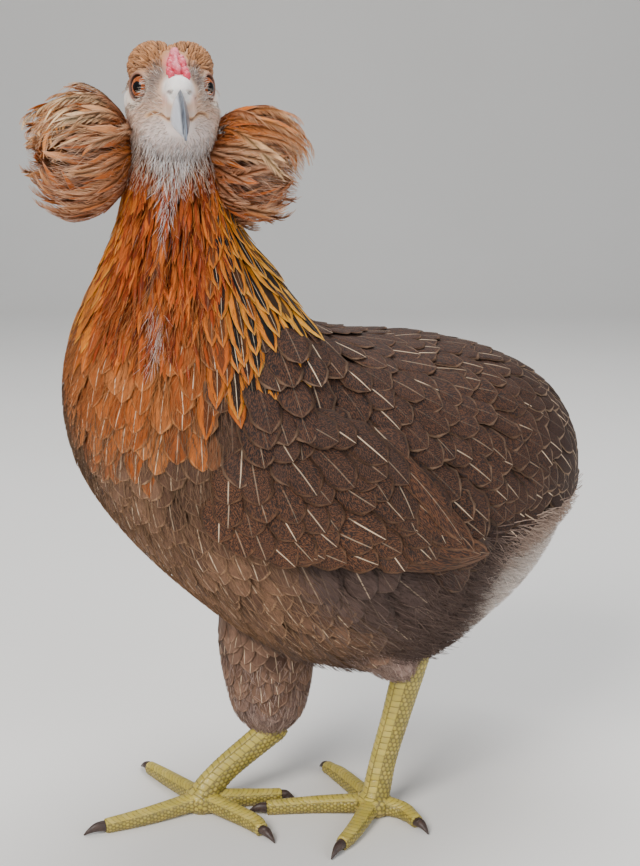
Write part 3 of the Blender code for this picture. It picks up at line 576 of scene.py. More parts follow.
# Finishes
def feather_finish(name, roughness=0.62):
    """Feathers: a pale shaft, peppering along the barbs, a dark centre and a pale fringe, as each is marked."""
    f = Finish(name, Specular_IOR_Level=0.22)
    uv = f.node("ShaderNodeUVMap", {"uv_map": "vane"})
    x, t, _ = f.parts(uv)
    off = abs(x * 2 - 1)
    ground, fringe = f.attribute("ground"), f.attribute("fringe")
    marks = f.attribute("marks")
    shaft, pepper, seed = f.parts(marks)
    centre = f.attribute("marks", out=3)
    barb = f.point(off * 7 + t * 4, t * 30 - off * 13 + seed * 90, seed * 57)
    speckle = f.noise(1.7, 4.0, barb)
    mottle = f.noise(3.2, 3.0, f.point(x * 1.4 + seed * 31, t * 3 + seed * 17, seed * 9))
    end = (t - 0.74).larger(0.0) * 3.6
    rim = (off * off + end * end) ** 0.5
    barbs = f.noise(1.0, 2.0, f.point(off * 3, t * 70 - off * 26, seed * 83))
    light = (0.60 + mottle * 0.8) * (0.25 + barbs * 1.5) * t.fade(0.0, 0.7, 0.55, 1.0)
    colour = f.node("ShaderNodeHueSaturation", {}, 0.5, 1.0, light, 1.0, ground)
    colour = f.mix(centre * (off + (t - 0.86).larger(0.0) * 3.2 + barbs * 0.16).fade(0.44, 0.56, 1, 0), colour,
                   rgb(8, 7, 8))
    colour = f.mix(pepper * speckle.fade(0.48, 0.57), colour, rgb(114, 72, 46))
    colour = f.mix(rim.fade(0.84, 0.98) * (0.20 + mottle * 0.8), colour, fringe)
    colour = f.mix(shaft * off.fade(0.018, 0.050, 1, 0) * (t + mottle * 0.6 + seed * 0.3).fade(0.72, 0.96), colour,
                   rgb(226, 200, 168))
    ribs = (t * 260 - off * 70).sine()
    groove = f.bump(ribs * 0.5 + off.fade(0.0, 0.12, 1.3, 0), 0.35, 0.0004)
    return f.set(Base_Color=colour, Roughness=roughness + mottle * 0.12, Normal=groove)


def skin_finish(name, roughness=0.6, pore=900.0, depth=0.0002, coat=0.0):
    """Soft skin: each place's own colour, with fine pores and blotches."""
    f = Finish(name, Subsurface_Weight=0.06, Subsurface_Scale=0.004, Coat_Weight=coat)
    ground = f.attribute("ground")
    blotch = f.noise(260.0, 4.0)
    grain = f.noise(pore, 3.0)
    colour = f.node("ShaderNodeHueSaturation", {}, 0.5, 0.9 + blotch * 0.2, 0.78 + blotch * 0.4, 1.0, ground)
    return f.set(Base_Color=colour, Roughness=roughness - 0.1 + blotch * 0.2,
                 Normal=f.bump(grain, 0.5, depth))


FEATHER = feather_finish("feather")
SOFT = feather_finish("soft_feather", 0.72)
UNDERCOAT = skin_finish("undercoat_skin", 0.85)
FACE_SKIN = skin_finish("face_skin", 0.55)


def horn_finish(name, dark, light, low, high, roughness):
    """Horn: a dark and a pale colour mixed by streaks that run along the growth and by broad clouds."""
    f = Finish(name, Specular_IOR_Level=0.5)
    x, t, _ = f.parts(f.node("ShaderNodeUVMap", {"uv_map": "vane"}))
    streak = f.noise(1.0, 4.0, f.point(x * 46, t * 3))
    cloud = f.noise(1.0, 3.0, f.point(x * 6, t * 6, 4.0))
    colour = f.mix((streak * 0.6 + cloud * 0.6).fade(low, high), dark, light)
    return f, colour, f.set(Roughness=roughness + streak * 0.2, Normal=f.bump(streak, 0.35, 0.0002))


# The inner body: one skin under the coat, on the torso, the neck and both thighs
THIGHS = {
    "left": (((0.036, -0.010, 0.122), (0.038, -0.021, 0.108), (0.039, -0.031, 0.096),
              (0.0395, -0.038, 0.0855), (0.0395, -0.042, 0.0775)),
             ((0.027, 0.027), (0.021, 0.021), (0.0155, 0.0155), (0.0108, 0.0108), (0.004, 0.004))),
    "right": (((-0.030, 0.0, 0.114), (-0.028, 0.001, 0.092), (-0.0255, 0.002, 0.073),
               (-0.023, 0.003, 0.057), (-0.021, 0.004, 0.045), (-0.0195, 0.005, 0.0355)),
              ((0.028, 0.028), (0.0255, 0.0255), (0.0235, 0.0235), (0.0205, 0.0205), (0.0160, 0.0160),
               (0.006, 0.006))),
}
COAT_DEPTH = 0.0045
DUN, GREY_BROWN, CREAM_GREY = rgb(74, 56, 48)[:3], rgb(112, 90, 80)[:3], rgb(196, 178, 166)[:3]
RUST, WHITE_DOWN = rgb(150, 72, 34)[:3], rgb(222, 210, 206)[:3]


def undercolour(station, angle):
    """The skin's colour under the coat, the same as the feathers over it."""
    low = fade(np.abs(angle), 1.7, 2.1)
    colour = blend(low * fade(station, 6, 8), np.broadcast_to(DUN, np.shape(station) + (3,)), GREY_BROWN)
    colour = blend(fade(station, 10.4, 11.6), colour, RUST)
    colour = blend(fade(station, 13.2, 14.5) * fade(np.abs(angle), 2.9, 3.05), colour, WHITE_DOWN)
    vent = (1 - fade(station, 4.0, 5.6)) * fade(np.abs(angle), 1.5, 1.9)
    return blend(vent, colour, CREAM_GREY)


# How far the soft vent lies in behind the saddle's edge
VENT_STEP = 0.0075


def tucked(station, angle):
    """The plumage's surface with its step in from the saddle to the soft vent."""
    point, by_s, by_a = slopes(body, station, angle)
    turn = np.degrees(np.abs(wrapped(angle)))
    step = VENT_STEP * (1 - fade(station, 4.2, 5.8)) * fade(turn, 92, 108)
    step = np.minimum(step, 0.35 * smooth_table(STATIONS, station)[..., 4])
    return point - step[..., None] * unit(np.cross(by_s, by_a))


def make_skin():
    stations, around = np.linspace(0.0, 15.6, 126), 96

    def inner(along, angle, extra=0.0):
        point, by_s, by_a = slopes(tucked, np.clip(along, 0.05, LAST), angle)
        out = unit(np.cross(by_s, by_a))
        deep = COAT_DEPTH - 0.0006 * fade(along, 11, 13)
        return point - np.minimum(deep, 0.6 * smooth_table(STATIONS, along)[..., 4])[..., None] * out
    trunk = tube(inner, stations, around)
    parts = [(trunk[0], trunk[1], trunk[2])]
    signed = (trunk[4] + math.pi) % (2 * math.pi) - math.pi
    colours, places = [undercolour(trunk[3], signed)], [np.stack([trunk[3] / LAST, trunk[4] / 6.2832], -1)]
    for name, _ in SIDES:
        path, radii = THIGHS[name]
        radii = [(a - min(0.0025, a * 0.4), b - min(0.0025, b * 0.4)) for a, b in radii]
        leg = tube(limb(path, radii), np.linspace(0, 1, 40), 48)
        parts.append(leg[:3])
        colours.append(np.broadcast_to(GREY_BROWN, (len(leg[0]), 3)))
        start = 0.05 if name == "left" else 0.55
        places.append(np.stack([0.93 + 0.06 * leg[3], start + leg[4] / 6.2832 * 0.4], -1))
    points, quads, caps = joined(parts)
    return mesh_piece("skin", points, quads, UNDERCOAT, "plumage_body",
                      ("torso", "neck", "thigh_left", "thigh_right"), {"ground": np.concatenate(colours)},
                      {"OFBake": np.concatenate(places)}, triangles=caps)


def remeshed(points, quads, triangles, voxel, smooth=2, factor=0.5):
    """One closed surface round overlapping closed forms, as points, quads and outward directions."""
    mesh = bpy.data.meshes.new("form")
    mesh.from_pydata(points.tolist(), [], quads.tolist() + triangles.tolist())
    form = bpy.data.objects.new("form", mesh)
    bpy.context.scene.collection.objects.link(form)
    remesh = form.modifiers.new("remesh", "REMESH")
    remesh.mode, remesh.voxel_size, remesh.adaptivity = "VOXEL", voxel, 0
    if smooth:
        even = form.modifiers.new("smooth", "SMOOTH")
        even.iterations, even.factor = smooth, factor
    done = bpy.data.meshes.new_from_object(form.evaluated_get(bpy.context.evaluated_depsgraph_get()))
    count = len(done.vertices)
    found, out = np.empty(count * 3, np.float32), np.empty(count * 3, np.float32)
    done.vertices.foreach_get("co", found)
    done.vertices.foreach_get("normal", out)
    corners = np.empty(len(done.loops), np.int32)
    done.loops.foreach_get("vertex_index", corners)
    bpy.data.objects.remove(form)
    for used in (mesh, done):
        bpy.data.meshes.remove(used)
    return found.reshape(-1, 3).astype(float), corners.reshape(-1, 4), out.reshape(-1, 3).astype(float)


def ball(centre, radii, axes=None, around=20, rows=12):
    """A closed ellipsoid whose last axis goes through its poles."""
    axes = np.eye(3) if axes is None else axes

    def surface(along, angle, extra=0.0):
        polar = np.asarray(along) * math.pi
        flat = np.stack([np.sin(polar) * np.cos(angle), np.sin(polar) * np.sin(angle), np.cos(polar)], -1)
        return centre + (flat * np.asarray(radii)) @ axes
    return tube(surface, np.linspace(0.03, 0.97, rows), around)[:3]


# Head forms, in the head's own directions: ahead, side and height, then their radii
CROWN_LOBE = ((-0.0030, 0.0070, 0.3806), (0.0138, 0.0118, 0.0108))
EARLOBE = ((-0.0020, 0.0198, 0.3655), (0.0032, 0.0021, 0.0048))
CERE = ((0.0283, 0, 0.3698), (0.0064, 0.0064, 0.0058))
NOSTRIL = (0.0325, 0.0046, 0.3680)
HEAD_FORMS = [(place, radii, side) for place, radii in (CROWN_LOBE, EARLOBE) for _, side in SIDES]


def head_skin(station, angle):
    """The head's surface with its crown lobes and earlobes."""
    point, by_s, by_a = slopes(body, station, angle)
    out = unit(np.cross(by_s, by_a))
    point = point - 0.0004 * out
    best = np.zeros(point.shape[:-1])
    for place, radii, side in HEAD_FORMS:
        centre = head_point(place[0], side * place[1], place[2])
        q = (point - centre) @ HEAD_AXES.T / radii
        m = out @ HEAD_AXES.T / radii
        a, b, c = (m * m).sum(-1), (q * m).sum(-1), (q * q).sum(-1) - 1
        reach = b * b - a * c
        best = np.maximum(best, np.where(reach > 0, (-b + np.sqrt(np.maximum(reach, 0))) / a, 0))
    return point + np.clip(best, 0, 0.006)[..., None] * out


def eye_frame(side):
    outward = math.radians(EYE_OUTWARD)
    look = math.cos(outward) * HEAD_AXES[0] + math.sin(outward) * side * HEAD_AXES[1]
    place = head_point(EYE_PLACE[0], side * EYE_PLACE[1], EYE_PLACE[2])
    up = unit(HEAD_AXES[2] - (HEAD_AXES[2] @ look) * look)
    return place, look, up, np.cross(up, look)


def mouth_height(ahead):
    """The height of the line between the two halves of the beak."""
    start, high = MOUTH_CORNER
    end, low = BEAK_TIP
    return high + (np.asarray(ahead) - start) / (end - start) * (low + 0.0014 - high)


def gape_height(ahead):
    """The mouth's line behind the beak: it arches up from the corner before it meets the horn."""
    way = np.clip((np.asarray(ahead) - MOUTH_CORNER[0]) / 0.0115, 0, 1)
    return mouth_height(ahead) - 0.0008 * (1 - way) + 0.0026 * np.sin(math.pi * way)


def face_colour(points):
    """The face's colour at each point: buff cheeks, white cere and earlobes, dark patches beside the comb."""
    ahead, side, height = in_head(points)
    away = np.abs(side)
    colour = np.broadcast_to(rgb(205, 170, 146)[:3], points.shape).copy()

    def dab(centre, radii, tint, strength=1.0, soft=0.5):
        nonlocal colour
        d = np.sqrt(((ahead - centre[0]) / radii[0]) ** 2 + ((away - centre[1]) / radii[1]) ** 2
                    + ((height - centre[2]) / radii[2]) ** 2)
        colour = blend(strength * (1 - fade(d, 1 - soft, 1 + soft)), colour, rgb(*tint)[:3])
    crown = fade(height - 0.25 * ahead, 0.3700, 0.3770)
    colour = blend(crown, colour, rgb(188, 132, 88)[:3])
    dab((0.006, 0.020, 0.3625), (0.012, 0.008, 0.008), (214, 184, 164))
    dab((0.016, 0.0, 0.350), (0.020, 0.016, 0.011), (226, 214, 210))
    dab((0.0185, 0.0085, 0.3740), (0.0050, 0.0045, 0.0075), (104, 92, 88), 0.85)
    dab((0.022, 0.013, 0.3680), (0.006, 0.004, 0.006), (150, 132, 124), 0.6)
    dab(CERE[0], (0.0080, 0.0068, 0.0076), (246, 240, 236), 1.0, 0.25)
    dab((0.0215, 0.0, 0.3765), (0.0060, 0.0028, 0.0060), (246, 238, 236), 0.9)
    dab((0.0200, 0.0, 0.3815), (0.010, 0.0046, 0.006), (232, 120, 132), 0.9)
    dab(EARLOBE[0], (0.0046, 0.0044, 0.0062), (240, 234, 228))
    yellow = (1 - fade(np.abs(height - gape_height(ahead)), 0.0004, 0.0016)) * fade(ahead, 0.0185, 0.0215) \
        * (1 - fade(ahead, 0.0300, 0.0330))
    colour = blend(0.75 * yellow, colour, rgb(212, 164, 104)[:3])
    # Painted shade inside both nostrils' hollows
    dab((0.0325, 0.0046, 0.3680), (0.0024, 0.0014, 0.0009), (84, 62, 56), 0.85, 0.4)
    dab((0.0300, 0.0066, 0.3655), (0.0030, 0.0016, 0.0030), (196, 150, 138), 0.5)
    for _, eye_side in SIDES:
        place, look, up, right = eye_frame(eye_side)
        from_eye = points - place
        wide = np.sqrt((from_eye @ up) ** 2 + (from_eye @ right) ** 2)
        front = (from_eye @ look) > 0
        above = fade(from_eye @ up, 0.0, 0.006)
        colour = blend(front * (1 - fade(wide, 0.0088, 0.0112)) * (0.7 - 0.6 * above), colour,
                       rgb(226, 214, 200)[:3])
        colour = blend(front * (1 - fade(wide, 0.0062, 0.0068)), colour, rgb(150, 110, 92)[:3])
        colour = blend(front * (1 - fade(wide, 0.0054, 0.0058)), colour, rgb(60, 38, 30)[:3])
    return colour


def make_face():
    def sunk(along, angle, extra=0.0):
        point, by_s, by_a = slopes(body, along, angle)
        return point - (0.0046 * (1 - fade(along, 14.6, 16.9)))[..., None] * unit(np.cross(by_s, by_a))
    parts = [tube(sunk, np.linspace(14.4, LAST - 0.02, 60), 72)[:3]]
    for place, radii, side in HEAD_FORMS + [(CERE[0], CERE[1], 1)]:
        parts.append(ball(head_point(place[0], side * place[1], place[2]), radii, HEAD_AXES, 32, 18))
    points, quads, out = remeshed(*joined(parts), 0.00045, 6)
    points = points - 0.0003 * out
    for _, side in SIDES:
        place, look, up, right = eye_frame(side)
        away = points - place
        ahead, high, wide = away @ look, away @ up, away @ right
        d = np.sqrt(high ** 2 + wide ** 2)
        target = np.interp(d, (0.0, 0.0049, 0.0054, 0.0059, 0.0064, 0.0072, 0.0085, 0.0100),
                           (0.0030, 0.0032, 0.0049, 0.0056, 0.0053, 0.0047, 0.0035, 0.0020))
        share = np.where(ahead > -0.001, 1 - fade(d, 0.0066, 0.0098), 0)
        points = points + (share * (target - ahead))[:, None] * look
        ahead, across, height = in_head(points)
        hole = np.sqrt(((ahead - NOSTRIL[0]) / 0.0025) ** 2 + ((across - side * NOSTRIL[1]) / 0.0017) ** 2
                       + ((height - NOSTRIL[2] + 0.45 * (side * across - NOSTRIL[1])) / 0.0008) ** 2)
        points = points - (0.0016 * (1 - fade(hole, 0.4, 1.25)))[:, None] * out
    ahead, across, height = in_head(points)
    line = np.abs(height - gape_height(ahead)) / 0.0007
    cut = (1 - fade(line, 0.2, 1.3)) * fade(ahead, 0.0195, 0.0225) * (np.abs(across) > 0.002)
    points = points - (0.0009 * cut)[:, None] * out
    unwrap = np.stack([0.70 + (ahead + 0.03) * 3.0, 0.5 + np.arctan2(across, height - 0.366) / 6.2832], -1)
    colour = face_colour(points)
    # Painted shade: the groove of the mouth's line is darkened to brown
    colour = blend(cut * 0.8, colour, rgb(120, 78, 60)[:3])
    return mesh_piece("face", points, quads, FACE_SKIN, "plumage_face", ("head",), {"ground": colour},
                      {"OFBake": unwrap})


def make_eyes():
    f = Finish("wet_eye", Roughness=0.25, Coat_Weight=0.25, Coat_Roughness=0.04, Specular_IOR_Level=0.25)
    x, t, _ = f.parts(f.node("ShaderNodeUVMap", {"uv_map": "vane"}))
    fibres = f.noise(1.0, 3.0, f.point((x * 6.28318).sine() * 9, ((x + 0.25) * 6.28318).sine() * 9, t * 5))
    amber = f.mix(fibres.fade(0.30, 0.70), rgb(122, 52, 18), rgb(194, 104, 44))
    colour = f.mix(t.fade(0.105, 0.118), rgb(7, 5, 5), amber)
    colour = f.mix(t.fade(0.205, 0.255), colour, rgb(52, 24, 14))
    f.set(Base_Color=colour)
    for name, side in SIDES:
        place, look, up, right = eye_frame(side)
        gaze = math.radians(EYE_OUTWARD - 13)
        look = math.cos(gaze) * HEAD_AXES[0] + math.sin(gaze) * side * HEAD_AXES[1]
        right = np.cross(up, look)

        def surface(along, angle, extra=0.0):
            polar = np.asarray(along) * math.pi
            radius = EYE_RADIUS - 0.0002 + 0.0004 * (1 - fade(polar, 0.2, 0.75))
            flat = (np.cos(polar)[..., None] * look + (np.sin(polar) * np.cos(angle))[..., None] * up
                    + (np.sin(polar) * np.sin(angle))[..., None] * right * side)
            return place + radius[..., None] * flat
        points, quads, caps, along, angle = tube(surface, np.linspace(0.004, 0.99, 72), 72)
        mesh_piece("eye_ball_" + name, points, quads, f, "eye_wet", ("eye_" + name,), None,
                   {"vane": np.stack([angle / 6.28318, along], -1)}, triangles=caps)


UPPER_BEAK = ((0.0295, 0.3705, 0.0044), (0.0352, 0.3689, 0.0037), (0.0395, 0.3663, 0.0030),
              (0.0435, 0.3627, 0.0023), (0.0470, 0.3582, 0.0017), (0.0494, 0.3533, 0.0011), (0.0506, 0.3492, 0.0005))
LOWER_BEAK = ((0.0295, 0.3510, 0.0042), (0.0360, 0.3500, 0.0034), (0.0405, 0.3492, 0.0026),
              (0.0440, 0.3488, 0.0018), (0.0462, 0.3485, 0.0010))
MOUTH_OPEN = 0.0006


def make_beak():
    f, colour, _ = horn_finish("beak_horn", rgb(70, 74, 82), rgb(206, 212, 222), 0.42, 0.78, 0.26)
    ground = f.attribute("ground")
    f.set(Base_Color=f.mix(0.80, colour, ground), Coat_Weight=0.25)

    def half(table, upper):
        def surface(along, angle, extra=0.0):
            ahead, crest, wide = np.moveaxis(smooth_table(table, np.asarray(along) * (len(table) - 1)), -1, 0)
            edge = mouth_height(ahead) + (MOUTH_OPEN if upper else -MOUTH_OPEN) * 0.5
            level = np.cos(angle)
            reach = np.where(level > 0, np.abs(level), -0.10 * np.abs(level))
            if upper:
                edge = np.minimum(edge, crest - 0.0004)
                hook = 0.0012 * fade(along, 0.80, 1.0)
                height = edge - hook + reach * (crest - edge + hook)
            else:
                edge = np.maximum(edge, crest + 0.0004)
                height = edge - reach * (edge - crest)
            bow = np.where(level > 0, (1 - np.abs(level) ** 1.5) ** 0.8, np.abs(np.sin(angle)))
            side = wide * np.sign(np.sin(angle)) * bow
            return head_point(ahead, side, height)
        return surface
    for name, table, upper in (("beak_upper", UPPER_BEAK, True), ("beak_lower", LOWER_BEAK, False)):
        points, quads, caps, along, angle = tube(half(table, upper), np.linspace(0, 1, 48), 40)
        ahead, side, height = in_head(points)
        ridge = 1 - fade(side * -1, 0.0009, 0.0016)
        # Painted light: the beak's right flank is painted pale as a highlight and its left flank dark as painted shade;
        # on the upper beak a slate band covers the ridge and the shaded left flank
        tone = blend(ridge if upper else np.zeros(len(points)),
                     np.where((side > 0)[:, None], rgb(88, 70, 60)[:3], rgb(214, 222, 234)[:3]),
                     rgb(62, 68, 80)[:3])
        # Painted highlight: a thin pale streak along the upper beak's ridge, from about its middle to the tip
        tone = blend((1 - fade(np.abs(side - 0.0004), 0.0001, 0.0004)) * ridge * fade(along, 0.2, 0.5) * 0.7, tone,
                     rgb(150, 162, 180)[:3])
        tone = blend(1 - fade(along, 0.0, 0.16), tone, rgb(206, 190, 176)[:3])
        mesh_piece(name + "_horn", points, quads, f, "beak_horn", (name,), {"ground": tone},
                   {"vane": np.stack([angle / 6.28318, along], -1)}, triangles=caps)


COMB_ROWS = ((-0.0031, 0.0023, 5, 0.22, 1.02), (0.0, 0.0028, 6, 0.0, 0.86), (0.0031, 0.0022, 5, 0.18, 1.05))
COMB_START, COMB_END = (0.0140, 0.3848), (0.0262, 0.3762)


def make_comb():
    rng = np.random.default_rng(31)
    parts = []
    for side, size, count, first, last in COMB_ROWS:
        for share in np.linspace(first, last, count):
            ahead = COMB_START[0] + share * (COMB_END[0] - COMB_START[0])
            height = COMB_START[1] + share * (COMB_END[1] - COMB_START[1]) - abs(side) * 0.2
            place = head_point(ahead, side * (0.75 + 0.35 * share) + rng.uniform(-0.0005, 0.0005), height)
            radius = size * rng.uniform(0.62, 0.98)
            parts.append(ball(place, (radius * 0.85, radius * 0.85, radius * 1.25), HEAD_AXES, 20, 12))
    points, quads, out = remeshed(*joined(parts), 0.00025, 2)
    folds = np.sin(points @ (2100.0, 900.0, 2600.0)) * np.sin(points @ (-1300.0, 2300.0, 1500.0) + 1.0)
    points = points + (0.00022 * folds)[:, None] * out
    height = in_head(points)[2]
    # Painted highlight: the comb's peas are paler pink towards their tops and darker red lower down
    lift = fade(height - np.interp(in_head(points)[0], (0.012, 0.028), (0.3860, 0.3760)), -0.001, 0.003)
    colour = blend(lift, rgb(206, 60, 84)[:3] * np.ones((len(points), 3)), rgb(238, 132, 146)[:3])
    comb = skin_finish("comb_skin", 0.42, 1900.0, 0.00025, 0.15)
    mesh_piece("comb_peas", points, quads, comb, "comb_skin", ("comb",), {"ground": colour})


# Legs
SHANKS = {
    "left": ((0.0405, -0.0480, 0.092), (0.0400, -0.0457, 0.0842), (0.0350, -0.0402, 0.0541), (0.0315, -0.0350, 0.030),
             (0.0310, -0.0310, 0.0125), (0.0313, -0.0285, 0.006)),
    "right": ((-0.0190, 0.0010, 0.0400), (-0.0192, 0.0040, 0.0370), (-0.0200, 0.0099, 0.0322),
              (-0.0212, 0.0299, 0.0207), (-0.0217, 0.0410, 0.0122), (-0.0217, 0.0450, 0.0085)),
}
SHANK_RADII = ((0.0078, 0.0088), (0.0080, 0.0090), (0.0067, 0.0078), (0.0063, 0.0073),
               (0.0068, 0.0076), (0.0068, 0.0072))
HUBS = {"left": (0.0313, -0.0285, 0.0056), "right": (-0.0217, 0.0450, 0.0056)}
HUB_RADII = (0.0098, 0.0105, 0.0078)
TOES = {
    "left": (((-0.0037, -0.0329), (-0.0203, -0.0332)), ((0.0146, -0.0046), (0.0018, 0.0194)),
             ((0.0470, -0.0061), (0.0541, 0.0067)), ((0.0441, -0.0381), (0.0570, -0.0383))),
    "right": (((-0.0120, 0.0220), (-0.0060, 0.0060)), ((0.0098, 0.0344), (0.0203, 0.0333)),
              ((-0.0235, 0.0760), (-0.0270, 0.0990)), ((-0.0555, 0.0490), (-0.0739, 0.0511))),
}
TOE_RADII = ((0.0050, 0.0052), (0.0042, 0.0046), (0.0034, 0.0038))
CLAW_LENGTH = (0.0085, 0.0115, 0.0125, 0.0105)


def toe_path(name, digit):
    hub, (middle, end) = HUBS[name], TOES[name][digit]
    rise = [radius[1] - 0.0004 for radius in TOE_RADII]
    return ((hub[0], hub[1], rise[0] + 0.0010), (*middle, rise[1]), (*end, rise[2]))


def hexes(x, y):
    """How far inside its six-sided cell a place is, from 0 at the edge to 1, and the cell's number."""
    best = None
    for shift in (0.0, 0.5):
        column, row = np.round(x - shift), np.round(y / 1.732 - shift)
        dx, dy = x - shift - column, y - (row + shift) * 1.732
        d = np.sqrt(dx * dx + dy * dy)
        code = np.sin(column * 12.99 + row * 78.23 + shift * 41.0) * 437.5 % 1
        side = 0.5 - np.abs(dx)
        if best is None:
            best = (d, side, code)
        else:
            near = d < best[0]
            edge = np.minimum(np.abs(d - best[0]) * 0.58, np.where(near, side, best[1]))
            return np.clip(edge / 0.30, 0, 1), np.where(near, code, best[2])


def make_leg(name, finish, claw_finish):
    limbs = [(SHANKS[name], SHANK_RADII, True)] + [(toe_path(name, digit), TOE_RADII, False) for digit in range(4)]
    parts = [tube(limb(path, radii), np.linspace(0, 1, 40), 32)[:3] for path, radii, _ in limbs]
    hub = np.array([HUBS[name][0], -HUBS[name][1], HUBS[name][2]]) + SHIFT * (1, 1, 0)
    parts.append(ball(hub, HUB_RADII, None, 32, 18))
    points, quads, out = remeshed(*joined(parts), 0.00048, 4)
    nearest = np.full(len(points), 9.0)
    plate, code, front = np.zeros(len(points)), np.zeros(len(points)), np.zeros(len(points))
    for path, radii, shank in limbs:
        way = np.linspace(0, 1, 90)
        centre = (limb(path, radii)(way, np.zeros(90)) + limb(path, radii)(way, np.full(90, math.pi))) / 2
        width = smooth_table(radii, way * (len(radii) - 1)).mean(-1)
        d = np.linalg.norm(points[:, None] - centre[None], axis=-1) / width
        pick = d.argmin(1)
        arc = np.append(0, np.cumsum(np.linalg.norm(np.diff(centre, axis=0), axis=1)))
        heading = unit(np.gradient(centre, axis=0))[pick]
        along = arc[pick] + ((points - centre[pick]) * heading).sum(1)
        face = np.array([0.25, -1.0, 0.2]) if shank else np.array([0, 0, 1.0])
        up = unit(face - dot(heading, face) * heading)
        right = np.cross(heading, up)
        away = points - centre[pick]
        turn = np.arctan2((away * right).sum(1), (away * up).sum(1))
        ratio = d.min(1)
        round_it = turn * width[pick]
        net_size = 0.0028 if shank else 0.0021
        net, number = hexes(round_it / net_size, along / net_size)
        if shank:
            column = np.where(round_it > 0, 0.5, 0.0)
            rung = along / 0.0036 + column + np.abs(round_it) * 55
            scute = np.minimum(np.clip((0.5 - np.abs(rung % 1 - 0.5)) / 0.10, 0, 1),
                               np.clip(np.abs(round_it) / 0.0005, 0, 1))
            wide = 0.70
        else:
            rung = along / 0.0027 + (round_it * 260) ** 2
            scute = np.clip((0.5 - np.abs(rung % 1 - 0.5)) / 0.10, 0, 1)
            wide = 1.0
        inside = 1 - fade(np.abs(turn), wide - 0.1, wide + 0.1)
        scute = scute * np.clip(np.abs(np.abs(turn) - wide) / 0.10, 0, 1)
        value = np.where(inside > 0.5, scute, net)
        number = np.where(inside > 0.5, np.sin(np.floor(rung) * 91.7) * 43.7 % 1, number)
        better = ratio < nearest
        nearest = np.minimum(nearest, ratio)
        plate, code = np.where(better, value, plate), np.where(better, number, code)
        front = np.where(better, inside, front)
    raised = plate * plate * (3 - 2 * plate)
    points = points + ((raised - 0.55) * (0.00030 + 0.00016 * front))[:, None] * out
    points[:, 2] = np.maximum(points[:, 2], 0.0)
    scale = blend(code, rgb(150, 136, 54)[:3] * np.ones((len(points), 3)), rgb(192, 172, 82)[:3])
    scale = blend(front * 0.75, scale, blend(code, rgb(190, 170, 74)[:3] * np.ones((len(points), 3)),
                                             rgb(208, 188, 96)[:3]))
    # Painted shade: the scales are darker and browner close to the floor, on the toes' and foot's undersides
    low = 1 - fade(points[:, 2], 0.0008, 0.0040)
    scale = blend(low * 0.5, scale, rgb(150, 132, 84)[:3])
    scale = blend((1 - raised) * 0.85, scale, rgb(92, 78, 36)[:3])
    nodes = ["shank_" + name, "foot_" + name] + ["toe_%s_%d" % (name, digit + 1) for digit in range(4)]
    mesh_piece("leg_scales_" + name, points, quads, finish, "leg_scale", nodes, {"ground": scale})
    for digit in range(4):
        middle, end = [np.array([p[0], -p[1], p[2]]) + SHIFT * (1, 1, 0) for p in toe_path(name, digit)[1:]]
        ahead = (end - middle) * (1, 1, 0)
        ahead /= np.linalg.norm(ahead)
        length = CLAW_LENGTH[digit]
        start = end - 0.0022 * ahead
        path = [start, start + 0.5 * length * ahead + (0, 0, 0.0005), start + 0.85 * length * ahead - (0, 0, 0.0008),
                start + (length + 0.0012) * ahead - (0, 0, 0.0026)]
        path = [((p - SHIFT * (1, 1, 0)) * (1, -1, 1)).tolist() for p in path]
        radii = ((0.0026, 0.0030), (0.0021, 0.0025), (0.0012, 0.0014), (0.0003, 0.0004))
        points, quads, caps, along, angle = tube(limb(path, radii), np.linspace(0, 1, 28), 24)
        points[:, 2] = np.maximum(points[:, 2], 0.0001)
        tone = np.broadcast_to(rgb(60, 44, 42)[:3], (len(points), 3))
        mesh_piece("nail_%s_%d" % (name, digit + 1), points, quads, claw_finish, "claw_horn",
                   ("claw_%s_%d" % (name, digit + 1),), {"ground": tone},
                   {"vane": np.stack([angle / 6.28318, along], -1)}, triangles=caps)


def shades(share, *colours):
    """A colour for each share from 0 to 1, through a row of 0 to 255 colours."""
    table = np.array([rgb(*colour)[:3] for colour in colours])
    return smooth_table(table, np.clip(share, 0, 1) * (len(table) - 1)).clip(0, 1)


def varied(colour, rng, amount=0.14):
    """Each feather's own small change of brightness."""
    return colour * (1 + rng.normal(0, amount, (len(colour), 1))).clip(0.55, 1.5)


def marks_of(shaft, pepper, centre, rng, count):
    """How pale the shaft, how peppered the vane and how dark its centre is, with a number of the feather's own."""
    own = rng.uniform(0, 1, count)
    return np.stack([np.broadcast_to(np.asarray(part, float), count) for part in (shaft, pepper, own, centre)], -1)


def wrapped(angle):
    """An angle brought between minus and plus half a turn."""
    return (angle + math.pi) % (2 * math.pi) - math.pi


def lie(surface, u, v, sign=-1, gravity=0.0):
    """The lie of the coat: along the surface, pulled down by gravity."""
    _, by_u, _ = slopes(surface, u, v)
    return unit(sign * unit(by_u) + np.asarray(gravity)[..., None] * np.array([0, 0, -1.0]))


def under_wing(station, angle):
    """Where the folded wing hides the body."""
    upper, lower = [np.array(edge)[::-1] for edge in (WING_UPPER, WING_LOWER)]
    high = np.interp(station, upper[:, 0], upper[:, 1]) + 15
    low = np.interp(station, lower[:, 0], lower[:, 1]) - 9
    turn = np.degrees(np.abs(angle))
    return (station > 5.5) & (station < 10.0) & (turn > high) & (turn < low)


